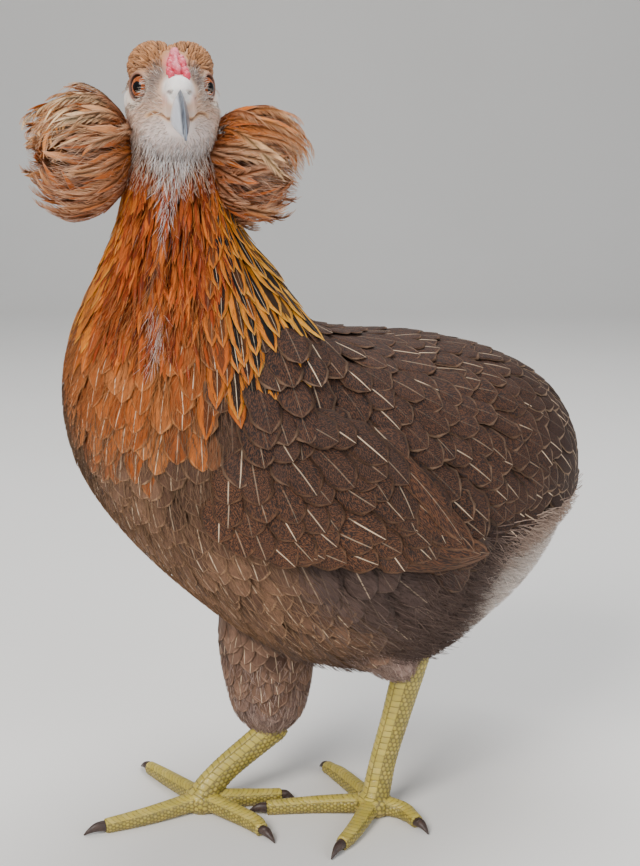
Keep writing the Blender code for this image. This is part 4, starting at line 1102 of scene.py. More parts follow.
def coat_zones(s, a, rng):
    """How much of the breast's brown, its orange, the soft flank and the saddle is at each place."""
    count, turn = len(s), np.degrees(np.abs(wrapped(a)))
    front = fade(turn, 112, 138) * fade(s, 5.8, 7.6)
    front = front * (1 - 0.55 * fade(s, 9.3, 10.1) * (1 - fade(turn, 156, 170)))
    turn = turn + 30 * (wrapped(a) < 0) * fade(s, 9.8, 10.8)
    orange = fade(s + rng.normal(0, 0.16, count), 10.85, 11.35) * fade(turn + rng.normal(0, 5, count), 122, 142)
    flank = fade(turn, 86, 104) * (1 - front) * (1 - fade(s, 8.2, 9.4))
    return front, orange, flank, (1 - fade(s, 3.6, 5.2)) * (1 - flank)


def coat_tints(front, orange, flank, saddle, rng):
    """The feathers' ground and fringe in those zones."""
    count = len(front)
    ground = shades(rng.uniform(0, 1, count), (28, 22, 22), (42, 32, 30))
    ground = blend(saddle, ground, rgb(46, 34, 30)[:3])
    ground = blend(flank, ground, rgb(80, 63, 57)[:3])
    ground = blend(front, ground, shades(rng.uniform(0, 1, count), (88, 62, 48), (130, 96, 74)))
    ground = blend(orange, ground, shades(rng.uniform(0, 1, count), (150, 74, 24), (172, 94, 40), (180, 108, 56)))
    fringe = blend(saddle, shades(rng.uniform(0, 1, count), (108, 80, 60), (146, 116, 92)), rgb(184, 154, 126)[:3])
    fringe = blend(flank, fringe, rgb(96, 80, 72)[:3])
    fringe = blend(front, fringe, rgb(204, 162, 124)[:3])
    return ground, blend(orange, fringe, rgb(210, 146, 92)[:3])


# A body feather's spacing, length and half width, and a hackle feather's length and half width
FEATHER_SPACING, FEATHER_LENGTH, FEATHER_HALF = 0.0084, 0.031, 0.0086
HACKLE_LENGTH, HACKLE_HALF = 0.044, 0.0054


def body_coat():
    """The broad feathers of back, flank and breast, and the soft barbs over the breast."""
    rng = np.random.default_rng(11)

    def spacing(s, a):
        turn = np.degrees(np.abs(wrapped(a)))
        return FEATHER_SPACING - 0.0008 * fade(s, 9.6, 11.2) * fade(turn, 120, 140) - 0.0010 * (1 - fade(s, 2.5, 4))

    def keep(s, a, point):
        turn = np.degrees(np.abs(a))
        vent = (s < 5.9 - 1.3 * (1 - fade(turn, 92, 104))) & (turn > 84)
        return ~under_wing(s, a) & ~vent & (s < 12.4 + 0.6 * fade(turn, 120, 150))
    s, a, _ = scatter(tucked, (0.8, 13.0), (-math.pi, math.pi), spacing, rng, keep)
    count = len(s)
    zones = coat_zones(s, a, rng)
    front, orange, flank, saddle = zones
    ground, fringe = coat_tints(*zones, rng)
    pepper = (0.55 - 0.35 * saddle) * (1 - flank) * (1 - front) + 0.12 * front * (1 - orange)
    bright = rng.uniform(0, 1, count) ** 3
    shaft = np.clip((0.05 + 0.95 * bright) * (1 - 0.2 * flank) + 0.8 * front * rng.uniform(0.2, 1, count)
                    + 0.35 * orange, 0, 1)
    length = FEATHER_LENGTH - 0.003 * front + 0.007 * orange + 0.007 * flank
    half = FEATHER_HALF - 0.0010 * front - 0.0014 * orange
    turn = np.degrees(np.abs(a))
    length = length * (1 - 0.45 * fade(turn, 66, 84) * (1 - fade(s, 4.6, 6.0)))
    gravity = 0.75 + 0.25 * (1 - fade(s, 2.0, 5.0)) - 0.65 * front * fade(turn, 115, 140)
    shoulder = fade(s, 9.7, 10.3) * (1 - fade(s, 11.2, 11.8)) * fade(turn, 60, 80) * (1 - fade(turn, 112, 124)) \
        * (1 - 0.9 * (a < 0) * fade(turn, 78, 92))
    # Painted shade: in the crease between the wing's upper edge and the saddle, the feathers' ground and fringe are
    # darkened and their peppering is taken out
    painted_crease_shade = 0.5 * (1 - fade(np.abs(s - 5.5), 0.3, 1.0)) * (1 - fade(np.abs(turn - 90), 3, 11))
    edge = np.interp(s, [row[0] for row in WING_UPPER[::-1]], [row[1] for row in WING_UPPER[::-1]])
    over = fade(turn - edge, -14, -4) * (1 - fade(turn - edge, 10, 18)) * fade(s, 5.6, 6.4) * (1 - fade(s, 9.8, 10.4))
    shoulder = np.maximum(shoulder, 0.75 * over)
    lay("body_feathers", FEATHER, "plumage_body", tucked, s, a, lie(tucked, s, a, -1, gravity),
        length + 0.006 * shoulder, half, (-0.0036, -0.0010 + 0.0020 * shoulder, 0.0003 + 0.0042 * shoulder),
        varied(ground * (1 - 0.6 * painted_crease_shade[:, None]), rng, 0.10), fringe * (1 - 0.6 * painted_crease_shade[:, None]),
        marks_of(shaft, pepper * (1 - painted_crease_shade), 0.0, rng, count), rng, ragged=0.07, inside=middle_of("torso"))

    def soft(s, a, point):
        turn = np.degrees(np.abs(a))
        thick = (s > 9.3) | (steady(s * 3, a) < 0.30)
        return (turn > 98) & ~under_wing(s, a) & (s < 13.0 - 0.5 * (turn < 140)) & (s > 5.4) & thick

    def soft_tint(s, a, point):
        ground, fringe = coat_tints(*coat_zones(s, a, rng), rng)
        return blend(0.10 + 0.5 * steady(s, a), ground * 0.85, fringe)
    down("breast_barbs", SOFT, "plumage_body", body, (5.0, 13.0), (-math.pi, math.pi), 0.0013, 0.0105, 0.00018,
         (-0.0016, 0.0004, 0.0012), soft_tint, 29, soft, gravity=0.15, yaw=0.24, inside=middle_of("torso"))


def hackle():
    """The pointed hackle round the neck's back and sides, and the finer rust feathers and barbs in front."""
    rng = np.random.default_rng(12)

    def keep(s, a, point):
        turn = np.degrees(np.abs(a))
        low = 11.7 + 0.2 * fade(turn, 92, 112) - 0.40 * fade(turn, 50, 70) * (1 - fade(turn, 84, 104))
        return (turn < 136) & (s > low) & ~((a < 0) & (turn > 72) & (s < 12.7))
    s, a, _ = scatter(body, (11.2, 16.5), (-math.pi, math.pi),
                          lambda s, a: 0.0052 - 0.0016 * fade(s, 12.4, 15.0), rng, keep)
    count, turn = len(s), np.degrees(np.abs(a)) + rng.normal(0, 6, len(s))
    front = fade(turn, 108, 138)
    gold = varied(shades(1 - fade(turn, 20, 110), (198, 112, 26), (202, 138, 40), (190, 136, 54)), rng, 0.10)
    ground = blend(front, gold, varied(shades(rng.uniform(0, 1, count), (150, 62, 16), (186, 98, 32)), rng, 0.16))
    fringe = blend(front, shades(rng.uniform(0, 1, count), (216, 158, 58), (212, 174, 88)), rgb(196, 108, 46)[:3])
    centre = np.clip((1 - 0.35 * front) * rng.uniform(0.85, 1.2, count), 0, 1)
    centre = centre * (1 - 0.85 * (wrapped(a) < 0) * fade(turn, 80, 100))
    shaft = np.clip(rng.uniform(-0.2, 0.9, count), 0, 1)
    high = fade(s, 11.9, 15.4)
    lay("hackle_feathers", FEATHER, "plumage_hackle", body, s, a, lie(body, s, a, -1, 0.12),
        HACKLE_LENGTH - 0.021 * high, HACKLE_HALF - 0.0025 * high, (-0.0028, -0.0002, 0.0013 - 0.0004 * high),
        ground, fringe, marks_of(shaft, 0.0, centre, rng, count), rng, outline=spear, camber=0.20,
        arc=0.02, yaw=0.08, roll=0.14, ragged=0.07, inside=middle_of("neck"))

    def keep_front(s, a, point):
        return np.degrees(np.abs(a)) > 112 + 22 * (1 - fade(s, 12.6, 13.6))
    s, a, _ = scatter(body, (12.3, 16.2), (-math.pi, math.pi), 0.0028, rng, keep_front)
    count, turn = len(s), np.degrees(np.abs(a))
    ground = varied(shades(rng.uniform(0, 1, count), (112, 38, 8), (156, 64, 14), (190, 100, 32)), rng, 0.2)
    fringe = shades(rng.uniform(0, 1, count), (190, 98, 34), (214, 142, 76))
    lay("foreneck_feathers", FEATHER, "plumage_hackle", body, s, a, lie(body, s, a, -1, 0.12),
        0.024 - 0.006 * fade(s, 13, 16), 0.0014, (-0.0026, -0.0001, 0.0006), ground, fringe,
        marks_of(np.clip(rng.uniform(-0.4, 0.7, count), 0, 1), 0.0, np.clip(rng.uniform(-1.6, 0.7, count), 0, 1), rng,
                 count), rng, outline=lance, rows=8, cols=5,
        camber=0.25, arc=0.0, yaw=0.20, roll=0.25, ragged=0.12, inside=middle_of("neck"))

    def rust(s, a, point):
        return shades(steady(s, a), (104, 34, 8), (158, 66, 16), (206, 128, 58))
    down("foreneck_barbs", SOFT, "plumage_hackle", body, (12.4, 16.4), (-math.pi, math.pi), 0.0015, 0.0120, 0.00020,
         (-0.0020, 0.0003, 0.0012), rust, 30, keep_front, gravity=0.12, yaw=0.22, inside=middle_of("neck"))


def down(name, finish, slot, surface, u_range, v_range, spacing, length, half, lifts, tint, seed, keep=None,
         sign=-1, gravity=0.3, yaw=0.35, rows=4, inside=(0, 0, 0.18), limits=(0.2, 99), where=None, amount=0.12,
         start=None, roll=0.5, fall=0.10):
    """Fine strands over a part of the body, longer and looser where they are fluff."""
    rng = np.random.default_rng(seed)
    u, v, point = scatter(surface, u_range, v_range, spacing, rng, keep)
    count = len(u)
    ground = varied(tint(u, v, point), rng, amount)
    heading = lie(surface, u, v, sign, gravity) if start is None else start(u, v, point)
    size = length(u, v) if callable(length) else length
    lay(name, finish, slot, surface, u, v, heading, size, half, lifts, ground, ground * 1.12,
        marks_of(0.0, 0.0, 0.0, rng, count), rng, outline=strand, rows=rows, cols=3, camber=0.3, arc=0.0, yaw=yaw,
        roll=roll, ragged=0.0, thick=0.0002, inside=inside, limits=limits, where=where, fall=fall)


def fluff():
    """The vent's pale down, the belly's brown down and the white patch on the throat."""
    def vent(s, a, point):
        return (np.degrees(np.abs(a)) > 90) & (s < 6.3)

    def pale(s, a, point):
        low = fade(np.degrees(np.abs(a)), 96, 112)
        tint = blend(low, shades(steady(s, a), (150, 126, 112), (180, 156, 140)),
                     shades(steady(a, s), (206, 190, 178), (240, 228, 218)))
        return blend(fade(s + 0.5 * steady(a, s), 4.9, 5.7), tint, rgb(96, 78, 70)[:3])
    down("vent_fluff", SOFT, "plumage_body", tucked, (0.3, 6.3), (-math.pi, math.pi), 0.0014, 0.018, 0.00036,
         (-0.0040, 0.0, 0.0032), pale, 21, vent, gravity=0.5, yaw=0.32, inside=middle_of("torso"), rows=5)

    def belly(s, a, point):
        return (np.degrees(np.abs(a)) > 112) & (s > 5.5) & (s < 7.6)
    down("belly_fluff", SOFT, "plumage_body", body, (5.5, 7.6), (-math.pi, math.pi), 0.0030, 0.018, 0.00040,
         (-0.004, 0.0002, 0.0035), lambda s, a, p: shades(steady(s, a), (84, 66, 58), (118, 98, 88)), 22, belly,
         gravity=0.2, yaw=0.25, inside=middle_of("torso"))

    def throat(s, a, point):
        middle = np.interp(s, (12.4, 13.0, 17.0), (174, 185, 180))
        wide = np.interp(s, (11.8, 12.2, 12.6, 13.0, 14.3, 15.0, 15.8, 17.0, 18.2), (0, 3, 4, 1.4, 2.6, 8, 16, 35, 48))
        sparse = steady(s * 3, a) < 0.30 + 0.35 * (1 - fade(s, 12.7, 12.9)) + 0.70 * fade(s, 14.2, 15.0)
        return (np.abs(np.degrees(a) % 360 - middle) < wide) & sparse
    down("throat_fluff", SOFT, "plumage_hackle", head_skin, (11.6, 18.6), (-math.pi, math.pi), 0.00082,
         lambda s, a: 0.0062 + 0.0034 * (1 - fade(s, 14, 17)), 0.00014, (-0.0010, 0.0008, 0.0018),
         lambda s, a, p: blend(fade(s, 13.7, 14.4) + 0.55 * (1 - fade(s, 12.6, 13.0)), rgb(184, 130, 98)[:3],
                               shades(steady(s, a), (216, 198, 190), (246, 240, 238), (255, 254, 254))), 23, throat,
         gravity=0.35, yaw=0.26, inside=middle_of("neck"))


def steady(u, v):
    """A steady number from 0 to 1 for each place."""
    return np.sin(u * 127.1 + v * 311.7) * 43758.5 % 1


# Where the belly's long feathers give way to the thighs' soft ones, along each thigh
THIGH_TOPS = {"left": (0.10, 0.30), "right": (0.34, 0.56)}


def thighs():
    """Longer brown feathers over each thigh's top, soft strands below them."""
    for name, _ in SIDES:
        path, radii = THIGHS[name]
        surface = limb(path, radii)
        centre = middle_of("thigh_" + name)
        first = 0.05 if name == "left" else 0.55

        def unwrap(u, v):
            return np.stack([0.93 + 0.06 * u, first + (v / 6.28318 % 1) * 0.4], -1)
        rng = np.random.default_rng(24)
        u, v, _ = scatter(surface, (0.02, 0.82), (0, 2 * math.pi), 0.0058, rng)
        count = len(u)
        top = 1 - fade(u + rng.normal(0, 0.04, count), *THIGH_TOPS[name])
        ground = shades(rng.uniform(0, 1, count), (134, 108, 98), (160, 134, 122))
        ground = varied(blend(top, ground, shades(rng.uniform(0, 1, count), (88, 64, 52), (122, 92, 74))), rng)
        lay("thigh_feathers_" + name, FEATHER, "plumage_thigh", surface, u, v,
            lie(surface, u, v, 1, 0.1), 0.018 + 0.008 * top, 0.0048 + 0.0022 * top,
            (-0.0022, -0.0004, 0.0007 + 0.0012 * top), ground, blend(top * 0.5, ground * 1.2, rgb(196, 160, 132)[:3]),
            marks_of(top * rng.uniform(0, 1, count) + 0.3 * (rng.uniform(0, 1, count) > 0.8), 0.0, 0.0, rng, count),
            rng, inside=centre, limits=(-1, 0.985), where=unwrap(u, v), fall=0.3)
        u, v, _ = scatter(surface, (0.5 * THIGH_TOPS[name][1], 0.97), (0, 2 * math.pi), 0.0014, rng)
        count = len(u)
        ground = varied(shades(rng.uniform(0, 1, count), (130, 104, 94), (164, 138, 126), (196, 172, 160)), rng)
        lay("thigh_strands_" + name, SOFT, "plumage_thigh", surface, u, v, lie(surface, u, v, 1, 0.1),
            0.012, 0.00020, (-0.0014, 0.0008, 0.0020), ground, ground, marks_of(0.0, 0.0, 0.0, rng, count), rng,
            outline=strand, rows=4, cols=3, arc=0.0, yaw=0.34, ragged=0.0, thick=0.0002, inside=centre,
            limits=(-1, 0.985), where=unwrap(u, v), fall=0.3)


def face_coat():
    """Small feathers on the crown and bristles on the face, clear of eyes, comb, cere, earlobes and mouth."""
    def clear(s, a, point):
        ahead, side, height = in_head(point)
        ok = np.ones(len(s), bool)
        for _, eye_side in SIDES:
            place, look, up, right = eye_frame(eye_side)
            away = point - place
            wide = np.sqrt((away @ up) ** 2 + (away @ right) ** 2)
            ok &= ~((wide < 0.0072) & (away @ look > 0))
        cere = (((ahead - CERE[0][0]) / 0.0085) ** 2 + (side / 0.0084) ** 2 + ((height - CERE[0][2]) / 0.0080) ** 2) < 1
        comb = (ahead > 0.0105) & (np.abs(side) < 0.0058) & (height > 0.371)
        lobe = (((ahead - EARLOBE[0][0]) / 0.007) ** 2 + ((np.abs(side) - EARLOBE[0][1]) / 0.006) ** 2
                + ((height - EARLOBE[0][2]) / 0.007) ** 2) < 1
        gape = (ahead > 0.0195) & (np.abs(height - gape_height(ahead)) < 0.0009)
        return ok & ~cere & ~comb & ~lobe & ~gape & (ahead < 0.0300)

    def crown(s, a, point):
        ahead, side, height = in_head(point)
        return clear(s, a, point) & (height - 0.25 * ahead > 0.3735)
    rng = np.random.default_rng(25)
    inside = head_point(0.0, 0.0, 0.364)
    s, a, point = scatter(head_skin, (15.4, 21.6), (-math.pi, math.pi), 0.0012, rng, crown)
    count = len(s)
    ground = varied(blend(0.25, face_colour(point), rgb(196, 128, 76)[:3]), rng, 0.2)
    fringe = blend(0.6, ground, rgb(226, 186, 146)[:3])
    lay("crown_feathers", FEATHER, "plumage_face", head_skin, s, a, lie(head_skin, s, a),
        0.0060, 0.00070, (-0.0004, 0.0005, 0.0011), ground, fringe,
        marks_of(0.25, 0.0, np.clip(rng.uniform(-0.4, 0.75, count), 0, 1), rng, count), rng,
        outline=lance, rows=5, cols=5, camber=0.3, arc=0.0, yaw=0.16, roll=0.2, thick=0.00016, inside=inside)

    def cheeks(s, a, point):
        ahead, side, height = in_head(point)
        return clear(s, a, point) & (height - 0.25 * ahead < 0.3745)
    down("face_bristles", SOFT, "plumage_face", head_skin, (15.0, 21.9), (-math.pi, math.pi), 0.00092,
         lambda s, a: 0.0064 - 0.0032 * fade(s, 17.5, 21), 0.00017, (-0.0003, 0.0006, 0.0015),
         lambda s, a, p: blend(steady(a, s) * 0.75, face_colour(p),
                               shades(steady(s, a), (176, 128, 98), (236, 220, 206), (252, 246, 240))),
         26, cheeks, gravity=0.2, yaw=0.32, inside=inside, amount=0.22)


def wings():
    """Each wing's pad, its flight feathers and the coverts over them."""
    for name, side in SIDES:
        rng = np.random.default_rng(13)
        surface = wing(side)
        pad_rows, pad_around = np.linspace(0.02, 0.97, 40), 36

        def pad(along, angle, extra=0.0):
            down_share = 0.53 - 0.43 * np.cos(angle)
            point, by_u, by_v = slopes(surface, along, down_share)
            out = unit(np.cross(by_u, by_v))
            out = out * np.sign(dot(out, point - middle_of("torso")).sum())
            depth = np.where(np.sin(angle) > 0, 0.0022, 0.0072)
            return point - (depth * (0.35 + 0.65 * np.abs(np.sin(angle))))[..., None] * out
        points, quads, caps, along, angle = tube(pad, pad_rows, pad_around)
        mesh_piece("wing_pad_" + name, points, quads, UNDERCOAT, "plumage_wing", ("wing_" + name,),
                   {"ground": np.broadcast_to(DUN, (len(points), 3))},
                   {"OFBake": np.stack([0.30 + along * 0.2, 0.3 + angle * 0.05], -1)}, triangles=caps)
        centre = middle_of("torso")
        count = 9
        share = np.linspace(0.06, 0.92, count)
        root_u, root_v = 0.44 - 0.26 * share ** 1.5, share
        tip = surface(np.linspace(0.80, 0.995, count), 0.30 + 0.62 * share)
        start = surface(root_u, root_v)
        ground = varied(np.broadcast_to(rgb(44, 31, 27)[:3], (count, 3)), rng, 0.06)
        stack = 0.0009 * (1 - share)
        lay("flight_feathers_" + name, FEATHER, "plumage_wing", surface, root_u, root_v, tip - start,
            np.linalg.norm(tip - start, axis=-1) * 1.02, 0.0070, (-0.0016, 0.0002 + stack, 0.0008 + stack),
            ground, np.broadcast_to(rgb(124, 90, 66)[:3], (count, 3)), marks_of(0.25, 0.85, 0.0, rng, count), rng,
            rows=14, cols=7, camber=0.10, arc=0.03, yaw=0.01, roll=0.03, inside=centre, limits=(-1, 1.0), fall=0.05,
            where=wing_unwrap(side, root_u, root_v))

        def keep(u, v, point):
            return u < 0.62 - 0.42 * v ** 3
        u, v, point = scatter(surface, (0.005, 0.62), (0.02, 0.99), lambda u, v: 0.0078 + 0.0014 * u, rng, keep)
        count = len(u)
        ground = varied(shades(v, (32, 25, 24), (40, 30, 27), (46, 33, 28)), rng, 0.12)
        fringe = shades(v, (98, 72, 54), (122, 88, 62))
        bright = rng.uniform(0, 1, count) ** 1.8
        lay("wing_coverts_" + name, FEATHER, "plumage_wing", surface, u, v,
            lie(surface, u, v, 1, 0.75 * (1 - v ** 2)), 0.027 + 0.014 * u, 0.0080, (-0.0022, 0.0002, 0.0016),
            ground, fringe, marks_of(0.12 + 0.88 * bright, 0.45 + 0.50 * v, 0.0, rng, count), rng,
            inside=centre, limits=(-1, 1.0), where=wing_unwrap(side, u, v))


def wing_unwrap(side, u, v):
    where = u * (len(WING_UPPER) - 1)
    upper, lower = smooth_table(WING_UPPER, where), smooth_table(WING_LOWER, where)
    place = upper + v[:, None] * (lower - upper)
    return np.stack([place[:, 0] / LAST, (side * place[:, 1] / 360) % 1], -1)


# Each layer of an ear tuft: its size, how many feathers, their length, half width and how far the tips stand out
TUFT_BALLS = ((0.94, 70, 0.034, 0.0014, 0.0030), (0.86, 100, 0.032, 0.0017, 0.0028),
              (0.76, 100, 0.028, 0.0018, 0.0024), (0.62, 80, 0.022, 0.0020, 0.0020))
# The soft plumes over them: how many, how many barbs a side, the barbs' length, and how far tips stand out
PLUMES, PLUME_BARBS, BARB_LENGTH, PLUME_LIFT = 60, 38, 0.0068, 0.0064


def ear_tufts():
    """Each ear tuft: a core, four layers of slim feathers, plumes with barbs, and loose barbs between them."""
    for name, side in SIDES:
        rng = np.random.default_rng(14 if side > 0 else 15)
        centre = tuft(side, 0.0)(np.zeros(1), np.zeros(1))[0]
        hollow = unit(HEAD_AXES[0] + 0.15 * HEAD_AXES[2] + 0.25 * side * HEAD_AXES[1])
        core = ball(centre - side * 0.0105 * HEAD_AXES[1], np.array(TUFT_RADII)[[0, 0, 2]] * 0.56, HEAD_AXES, 32, 20)
        mesh_piece("tuft_core_" + name, core[0], core[1], UNDERCOAT, "plumage_tuft", ("ear_tuft_" + name,),
                   {"ground": np.broadcast_to(rgb(150, 116, 94)[:3], (len(core[0]), 3))},
                   {"OFBake": in_core(core[0], centre, side)}, triangles=core[2])

        def tints_at(point, count, layer):
            high = fade(point[:, 2] - centre[2], -0.012, 0.012)
            out = fade(side * (point - centre) @ HEAD_AXES[1], -0.018, 0.008)
            low_buff = shades(rng.uniform(0, 1, count), (160, 84, 34), (206, 122, 60), (230, 160, 102))
            high_buff = shades(rng.uniform(0, 1, count), (196, 106, 30), (230, 154, 74), (252, 218, 168))
            buff = blend(high, low_buff, high_buff)
            buff = blend((1 - out) * 0.8, buff, rgb(172, 82, 26)[:3])
            front = fade(unit(point - centre) @ hollow, 0.2, 0.8)
            return blend((0.10, 0.25, 0.5, 0.75)[layer] * front, buff, rgb(168, 148, 138)[:3])
        for layer, (size, count, length, half, lift) in enumerate(TUFT_BALLS):
            surface = tuft(side, size)
            v = (np.arange(count) + rng.uniform(-0.5, 0.5, count)) * 36 / count
            u = 1.3 + rng.uniform(0, 1, count) ** 1.1 * 7.1 + 0.3 * layer
            middle = surface(u + 3.0, v)
            facing = unit(middle - centre) @ hollow
            some = ~((facing > 0.45) & (rng.uniform(0, 1, count) < (0.75, 0.55, 0.2, 0)[layer]))
            u, v = u[some], v[some]
            count = len(u)
            point, by_u, by_v = slopes(surface, u, v)
            sweep = rng.normal(0.12, 0.34, count)[:, None]
            heading = unit(by_u) + sweep * unit(by_v)
            rust = shades(rng.uniform(0, 1, count), (134, 60, 20), (182, 94, 38))
            buff = tints_at(surface(u + 4, v), count, layer)
            stand = lift * rng.uniform(-0.4, 2.0, count)
            lay("tuft_feathers_%s_%d" % (name, layer + 1), SOFT, "plumage_tuft", surface, u, v, heading,
                length * rng.uniform(0.55, 1.15, count), half * rng.uniform(0.5, 1.4, count),
                (-0.0022, 0.0004 + 0.3 * stand, stand), varied(rust, rng, 0.2),
                varied(blend(0.55, buff, rgb(246, 228, 206)[:3]), rng, 0.05),
                marks_of(rng.uniform(0, 0.8, count), 0.0, 0.0, rng, count), rng, outline=lance, rows=13, cols=5,
                camber=0.12, arc=0.02, yaw=0.05, roll=0.45, ragged=0.16, inside=centre, limits=(0.5, 16.5), fall=-0.05,
                where=np.stack([0.80 + 0.012 * layer + u * 0.002, (0.5 + side * 0.2 + v * 0.004) % 1], -1),
                tipping=buff)
        surface = tuft(side, 1.0)
        first = 1.0 + 5.4 * rng.uniform(0, 1, PLUMES) ** 0.9
        about = (np.arange(PLUMES) * 0.618 % 1 + rng.uniform(-0.01, 0.01, PLUMES)) * 36
        drift, span = 0.8 + rng.normal(0, 1.2, PLUMES), rng.uniform(5.5, 8.5, PLUMES)
        stand = PLUME_LIFT * rng.uniform(0.25, 1.1, PLUMES)
        buff = tints_at(surface(first + span * 0.7, about), PLUMES, 0)
        rust = varied(shades(rng.uniform(0, 1, PLUMES), (160, 76, 24), (204, 116, 50)), rng, 0.16)
        t = np.linspace(0.04, 1.0, PLUME_BARBS)[None, None, :]
        hand = np.array([-1.0, 1.0])[None, :, None]

        def each(values):
            return np.broadcast_to(values, (PLUMES, 2, PLUME_BARBS)).ravel()

        def plume(values):
            return each(np.asarray(values)[:, None, None])
        at, hands = each(t), each(hand)
        u, v = plume(first) + plume(span) * at, plume(about) + plume(drift) * at ** 1.6
        point, by_u, by_v = slopes(surface, u, v)
        shaft_way = unit(by_u * plume(span)[:, None] + by_v * (plume(drift) * 1.6 * at ** 0.6)[:, None])
        beside = unit(np.cross(shaft_way, point - centre)) * hands[:, None]
        spread = (0.62 - 0.42 * at)[:, None]
        size = BARB_LENGTH * (0.45 + 0.55 * fade(at, 0.0, 0.35)) * rng.uniform(0.75, 1.15, len(at))
        high = plume(stand) * at ** 1.7 + 0.0008
        start, way_u, way_v = slopes(surface, first, about)
        halfway = surface(first + span * 0.5, about + drift * 0.4)
        reach = np.linalg.norm(halfway - start, axis=-1) \
            + np.linalg.norm(surface(first + span, about + drift) - halfway, axis=-1)
        lay("tuft_vanes_" + name, SOFT, "plumage_tuft", surface, first, about,
            way_u * span[:, None] + way_v * drift[:, None], reach * 1.04, 0.0026,
            (0.0002, 0.0002 + 0.3 * stand, 0.0002 + stand), varied(rust, rng, 0.1),
            blend(0.5, buff, rgb(248, 230, 206)[:3]), marks_of(0.0, 0.0, 0.0, rng, PLUMES), rng, outline=lance,
            rows=15, cols=5, camber=0.22, arc=0.03, yaw=0.0, roll=0.10, ragged=0.10, inside=centre,
            limits=(0.3, 17.0), fall=-0.05, tipping=buff,
            where=np.stack([0.76 + first * 0.002, (0.5 + side * 0.2 + about * 0.004) % 1], -1))
        ground = np.repeat(rust, 2 * PLUME_BARBS, 0)
        ground = varied(blend(fade(at, 0.1, 0.7), ground, np.repeat(buff, 2 * PLUME_BARBS, 0)), rng, 0.08)
        pale = blend(0.38 * fade(at, 0.2, 0.9), ground, rgb(252, 230, 196)[:3])
        lay("tuft_plumes_" + name, SOFT, "plumage_tuft", surface, u, v, shaft_way + spread * beside, size, 0.00030,
            (high, high + 0.0003, high - 0.0002), ground, pale, marks_of(0.0, 0.0, 0.0, rng, len(at)), rng,
            outline=strand, rows=4, cols=3, camber=0.2, arc=0.0, yaw=0.07, roll=0.25, ragged=0.0, thick=0.0002,
            inside=centre, limits=(0.3, 17.0), fall=-0.05, tipping=pale,
            where=np.stack([0.76 + u * 0.002, (0.5 + side * 0.2 + v * 0.004) % 1], -1))
        for part, (size, gap, length, lift, seed) in enumerate((
                (0.95, 0.0013, 0.0095, 0.0036, 27), (0.80, 0.0014, 0.0095, 0.0034, 28))):
            surface = tuft(side, size)

            def barbs(u, v, point):
                _, by_u, by_v = slopes(surface, u, v)
                lean = 0.12 + 1.1 * (steady(v, u) - 0.5)
                return unit(by_u) + lean[:, None] * unit(by_v)

            def away(u, v, point):
                return unit(point - centre) @ hollow < 0.60 + 0.40 * steady(u, v)
            def tint(u, v, point):
                return blend(0.55 * steady(u, v * 3), tints_at(point, len(u), part), rgb(246, 228, 208)[:3])
            down("tuft_barbs_%s_%d" % (name, part + 1), SOFT, "plumage_tuft", surface, (2.0, 13.5), (0, 36), gap,
                 length, 0.00016, (-0.0008, 0.0014, lift), tint, seed, away, yaw=0.2, inside=centre,
                 limits=(0.5, 16.5), start=barbs, amount=0.16)


def in_core(points, centre, side):
    """A small unwrap of a tuft's core, away from the others."""
    away = unit(points - centre)
    return np.stack([0.90 + 0.01 * away[:, 2], 0.25 + 0.5 * (side > 0) + 0.02 * np.arctan2(away[:, 0], away[:, 1])], -1)


def stage():
    """A pale floor that sweeps up behind the hen."""
    floor = Finish("studio_floor", Roughness=0.9)
    floor.set(Base_Color=floor.mix(floor.noise(3.0), rgb(236, 234, 230), rgb(242, 240, 237)))
    width, back, height, bend = 4.0, 2.2, 3.0, 0.8
    turn = [math.radians(x) for x in range(0, 91, 6)]
    profile = [(-3.0, 0.0)] + [(back + bend * math.sin(a), bend - bend * math.cos(a)) for a in turn]
    profile.append((back + bend, height))
    away = Vector((math.sin(CAMERA_TURN), -math.cos(CAMERA_TURN), 0)) * -1
    right = Vector((math.cos(CAMERA_TURN), math.sin(CAMERA_TURN), 0))
    points, faces = [], []
    for distance, up in profile:
        for side in (-width, width):
            points.append(away * distance + right * side + Vector((0, 0, up)))
    for row in range(len(profile) - 1):
        faces.append((2 * row, 2 * row + 1, 2 * row + 3, 2 * row + 2))
    mesh = bpy.data.meshes.new("studio_sweep")
    mesh.from_pydata(points, [], faces)
    for face in mesh.polygons:
        face.use_smooth = True
    mesh.materials.append(floor.material)
    sweep = bpy.data.objects.new("studio_sweep", mesh)
    bpy.context.scene.collection.objects.link(sweep)


CAMERA_TURN, CAMERA_PITCH = math.radians(57), math.radians(12)
CAMERA_PLACE = (0.5477, -0.3404, 0.341)
FOCAL_PIXELS, FRAME_HEIGHT, SENSOR = 1300, 866, 36
LENS = FOCAL_PIXELS * SENSOR / FRAME_HEIGHT
SKY_COLOUR, SKY_STRENGTH = (0.80, 0.84, 0.90, 1), 0.34


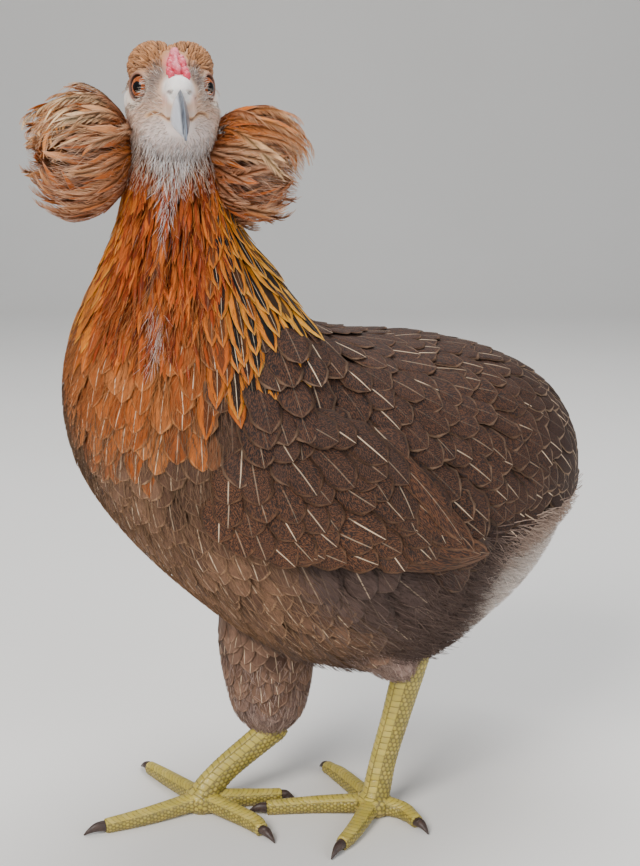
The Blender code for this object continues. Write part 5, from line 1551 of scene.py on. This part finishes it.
def camera_and_light():
    """The camera at the photograph's angle, three soft lamps and a pale sky."""
    right = Vector((math.cos(CAMERA_TURN), math.sin(CAMERA_TURN), 0))
    level = Vector((-math.sin(CAMERA_TURN), math.cos(CAMERA_TURN), 0))
    forward = level * math.cos(CAMERA_PITCH) - Vector((0, 0, math.sin(CAMERA_PITCH)))
    up = Vector((0, 0, math.cos(CAMERA_PITCH))) + level * math.sin(CAMERA_PITCH)
    place = Vector(CAMERA_PLACE) + Vector(SHIFT)
    data = bpy.data.cameras.new("photo_view")
    data.lens, data.sensor_width = LENS, SENSOR
    camera = bpy.data.objects.new("photo_view", data)
    camera.matrix_world = Matrix(((right.x, up.x, -forward.x, place.x), (right.y, up.y, -forward.y, place.y),
                                  (right.z, up.z, -forward.z, place.z), (0, 0, 0, 1)))
    bpy.context.scene.collection.objects.link(camera)
    bpy.context.scene.camera = camera
    for name, side, back, height, size, power_of, tint in (
            ("key", -0.9, 1.5, 1.5, 0.9, 46, (1.0, 0.97, 0.93)), ("fill", 1.3, 1.2, 0.8, 1.3, 14, (0.94, 0.97, 1.0)),
            ("top", 0.2, -0.5, 1.9, 1.2, 28, (1.0, 1.0, 1.0))):
        lamp = bpy.data.lights.new(name, "AREA")
        lamp.energy, lamp.size, lamp.color = power_of, size, tint
        holder = bpy.data.objects.new(name, lamp)
        spot = right * side - level * back + Vector((0, 0, height))
        holder.location = spot
        holder.rotation_euler = (Vector((0, 0, 0.2)) - spot).to_track_quat("-Z", "Y").to_euler()
        bpy.context.scene.collection.objects.link(holder)
    world = bpy.data.worlds.new("studio")
    world.use_nodes = True
    world.node_tree.nodes["Background"].inputs["Color"].default_value = SKY_COLOUR
    world.node_tree.nodes["Background"].inputs["Strength"].default_value = SKY_STRENGTH
    bpy.context.scene.world = world


make_skin()
make_face()
make_eyes()
make_beak()
make_comb()
claws, claw_colour, _ = horn_finish("claw_horn", rgb(40, 30, 26), rgb(104, 84, 70), 0.45, 0.80, 0.35)
claws.set(Base_Color=claws.mix(0.6, claw_colour, claws.attribute("ground")))
SCALES = skin_finish("leg_scales", 0.46, 1500.0, 0.00012, 0.08)
for side_name, _ in SIDES:
    make_leg(side_name, SCALES, claws)
body_coat()
hackle()
fluff()
thighs()
face_coat()
wings()
ear_tufts()
stage()
camera_and_light()
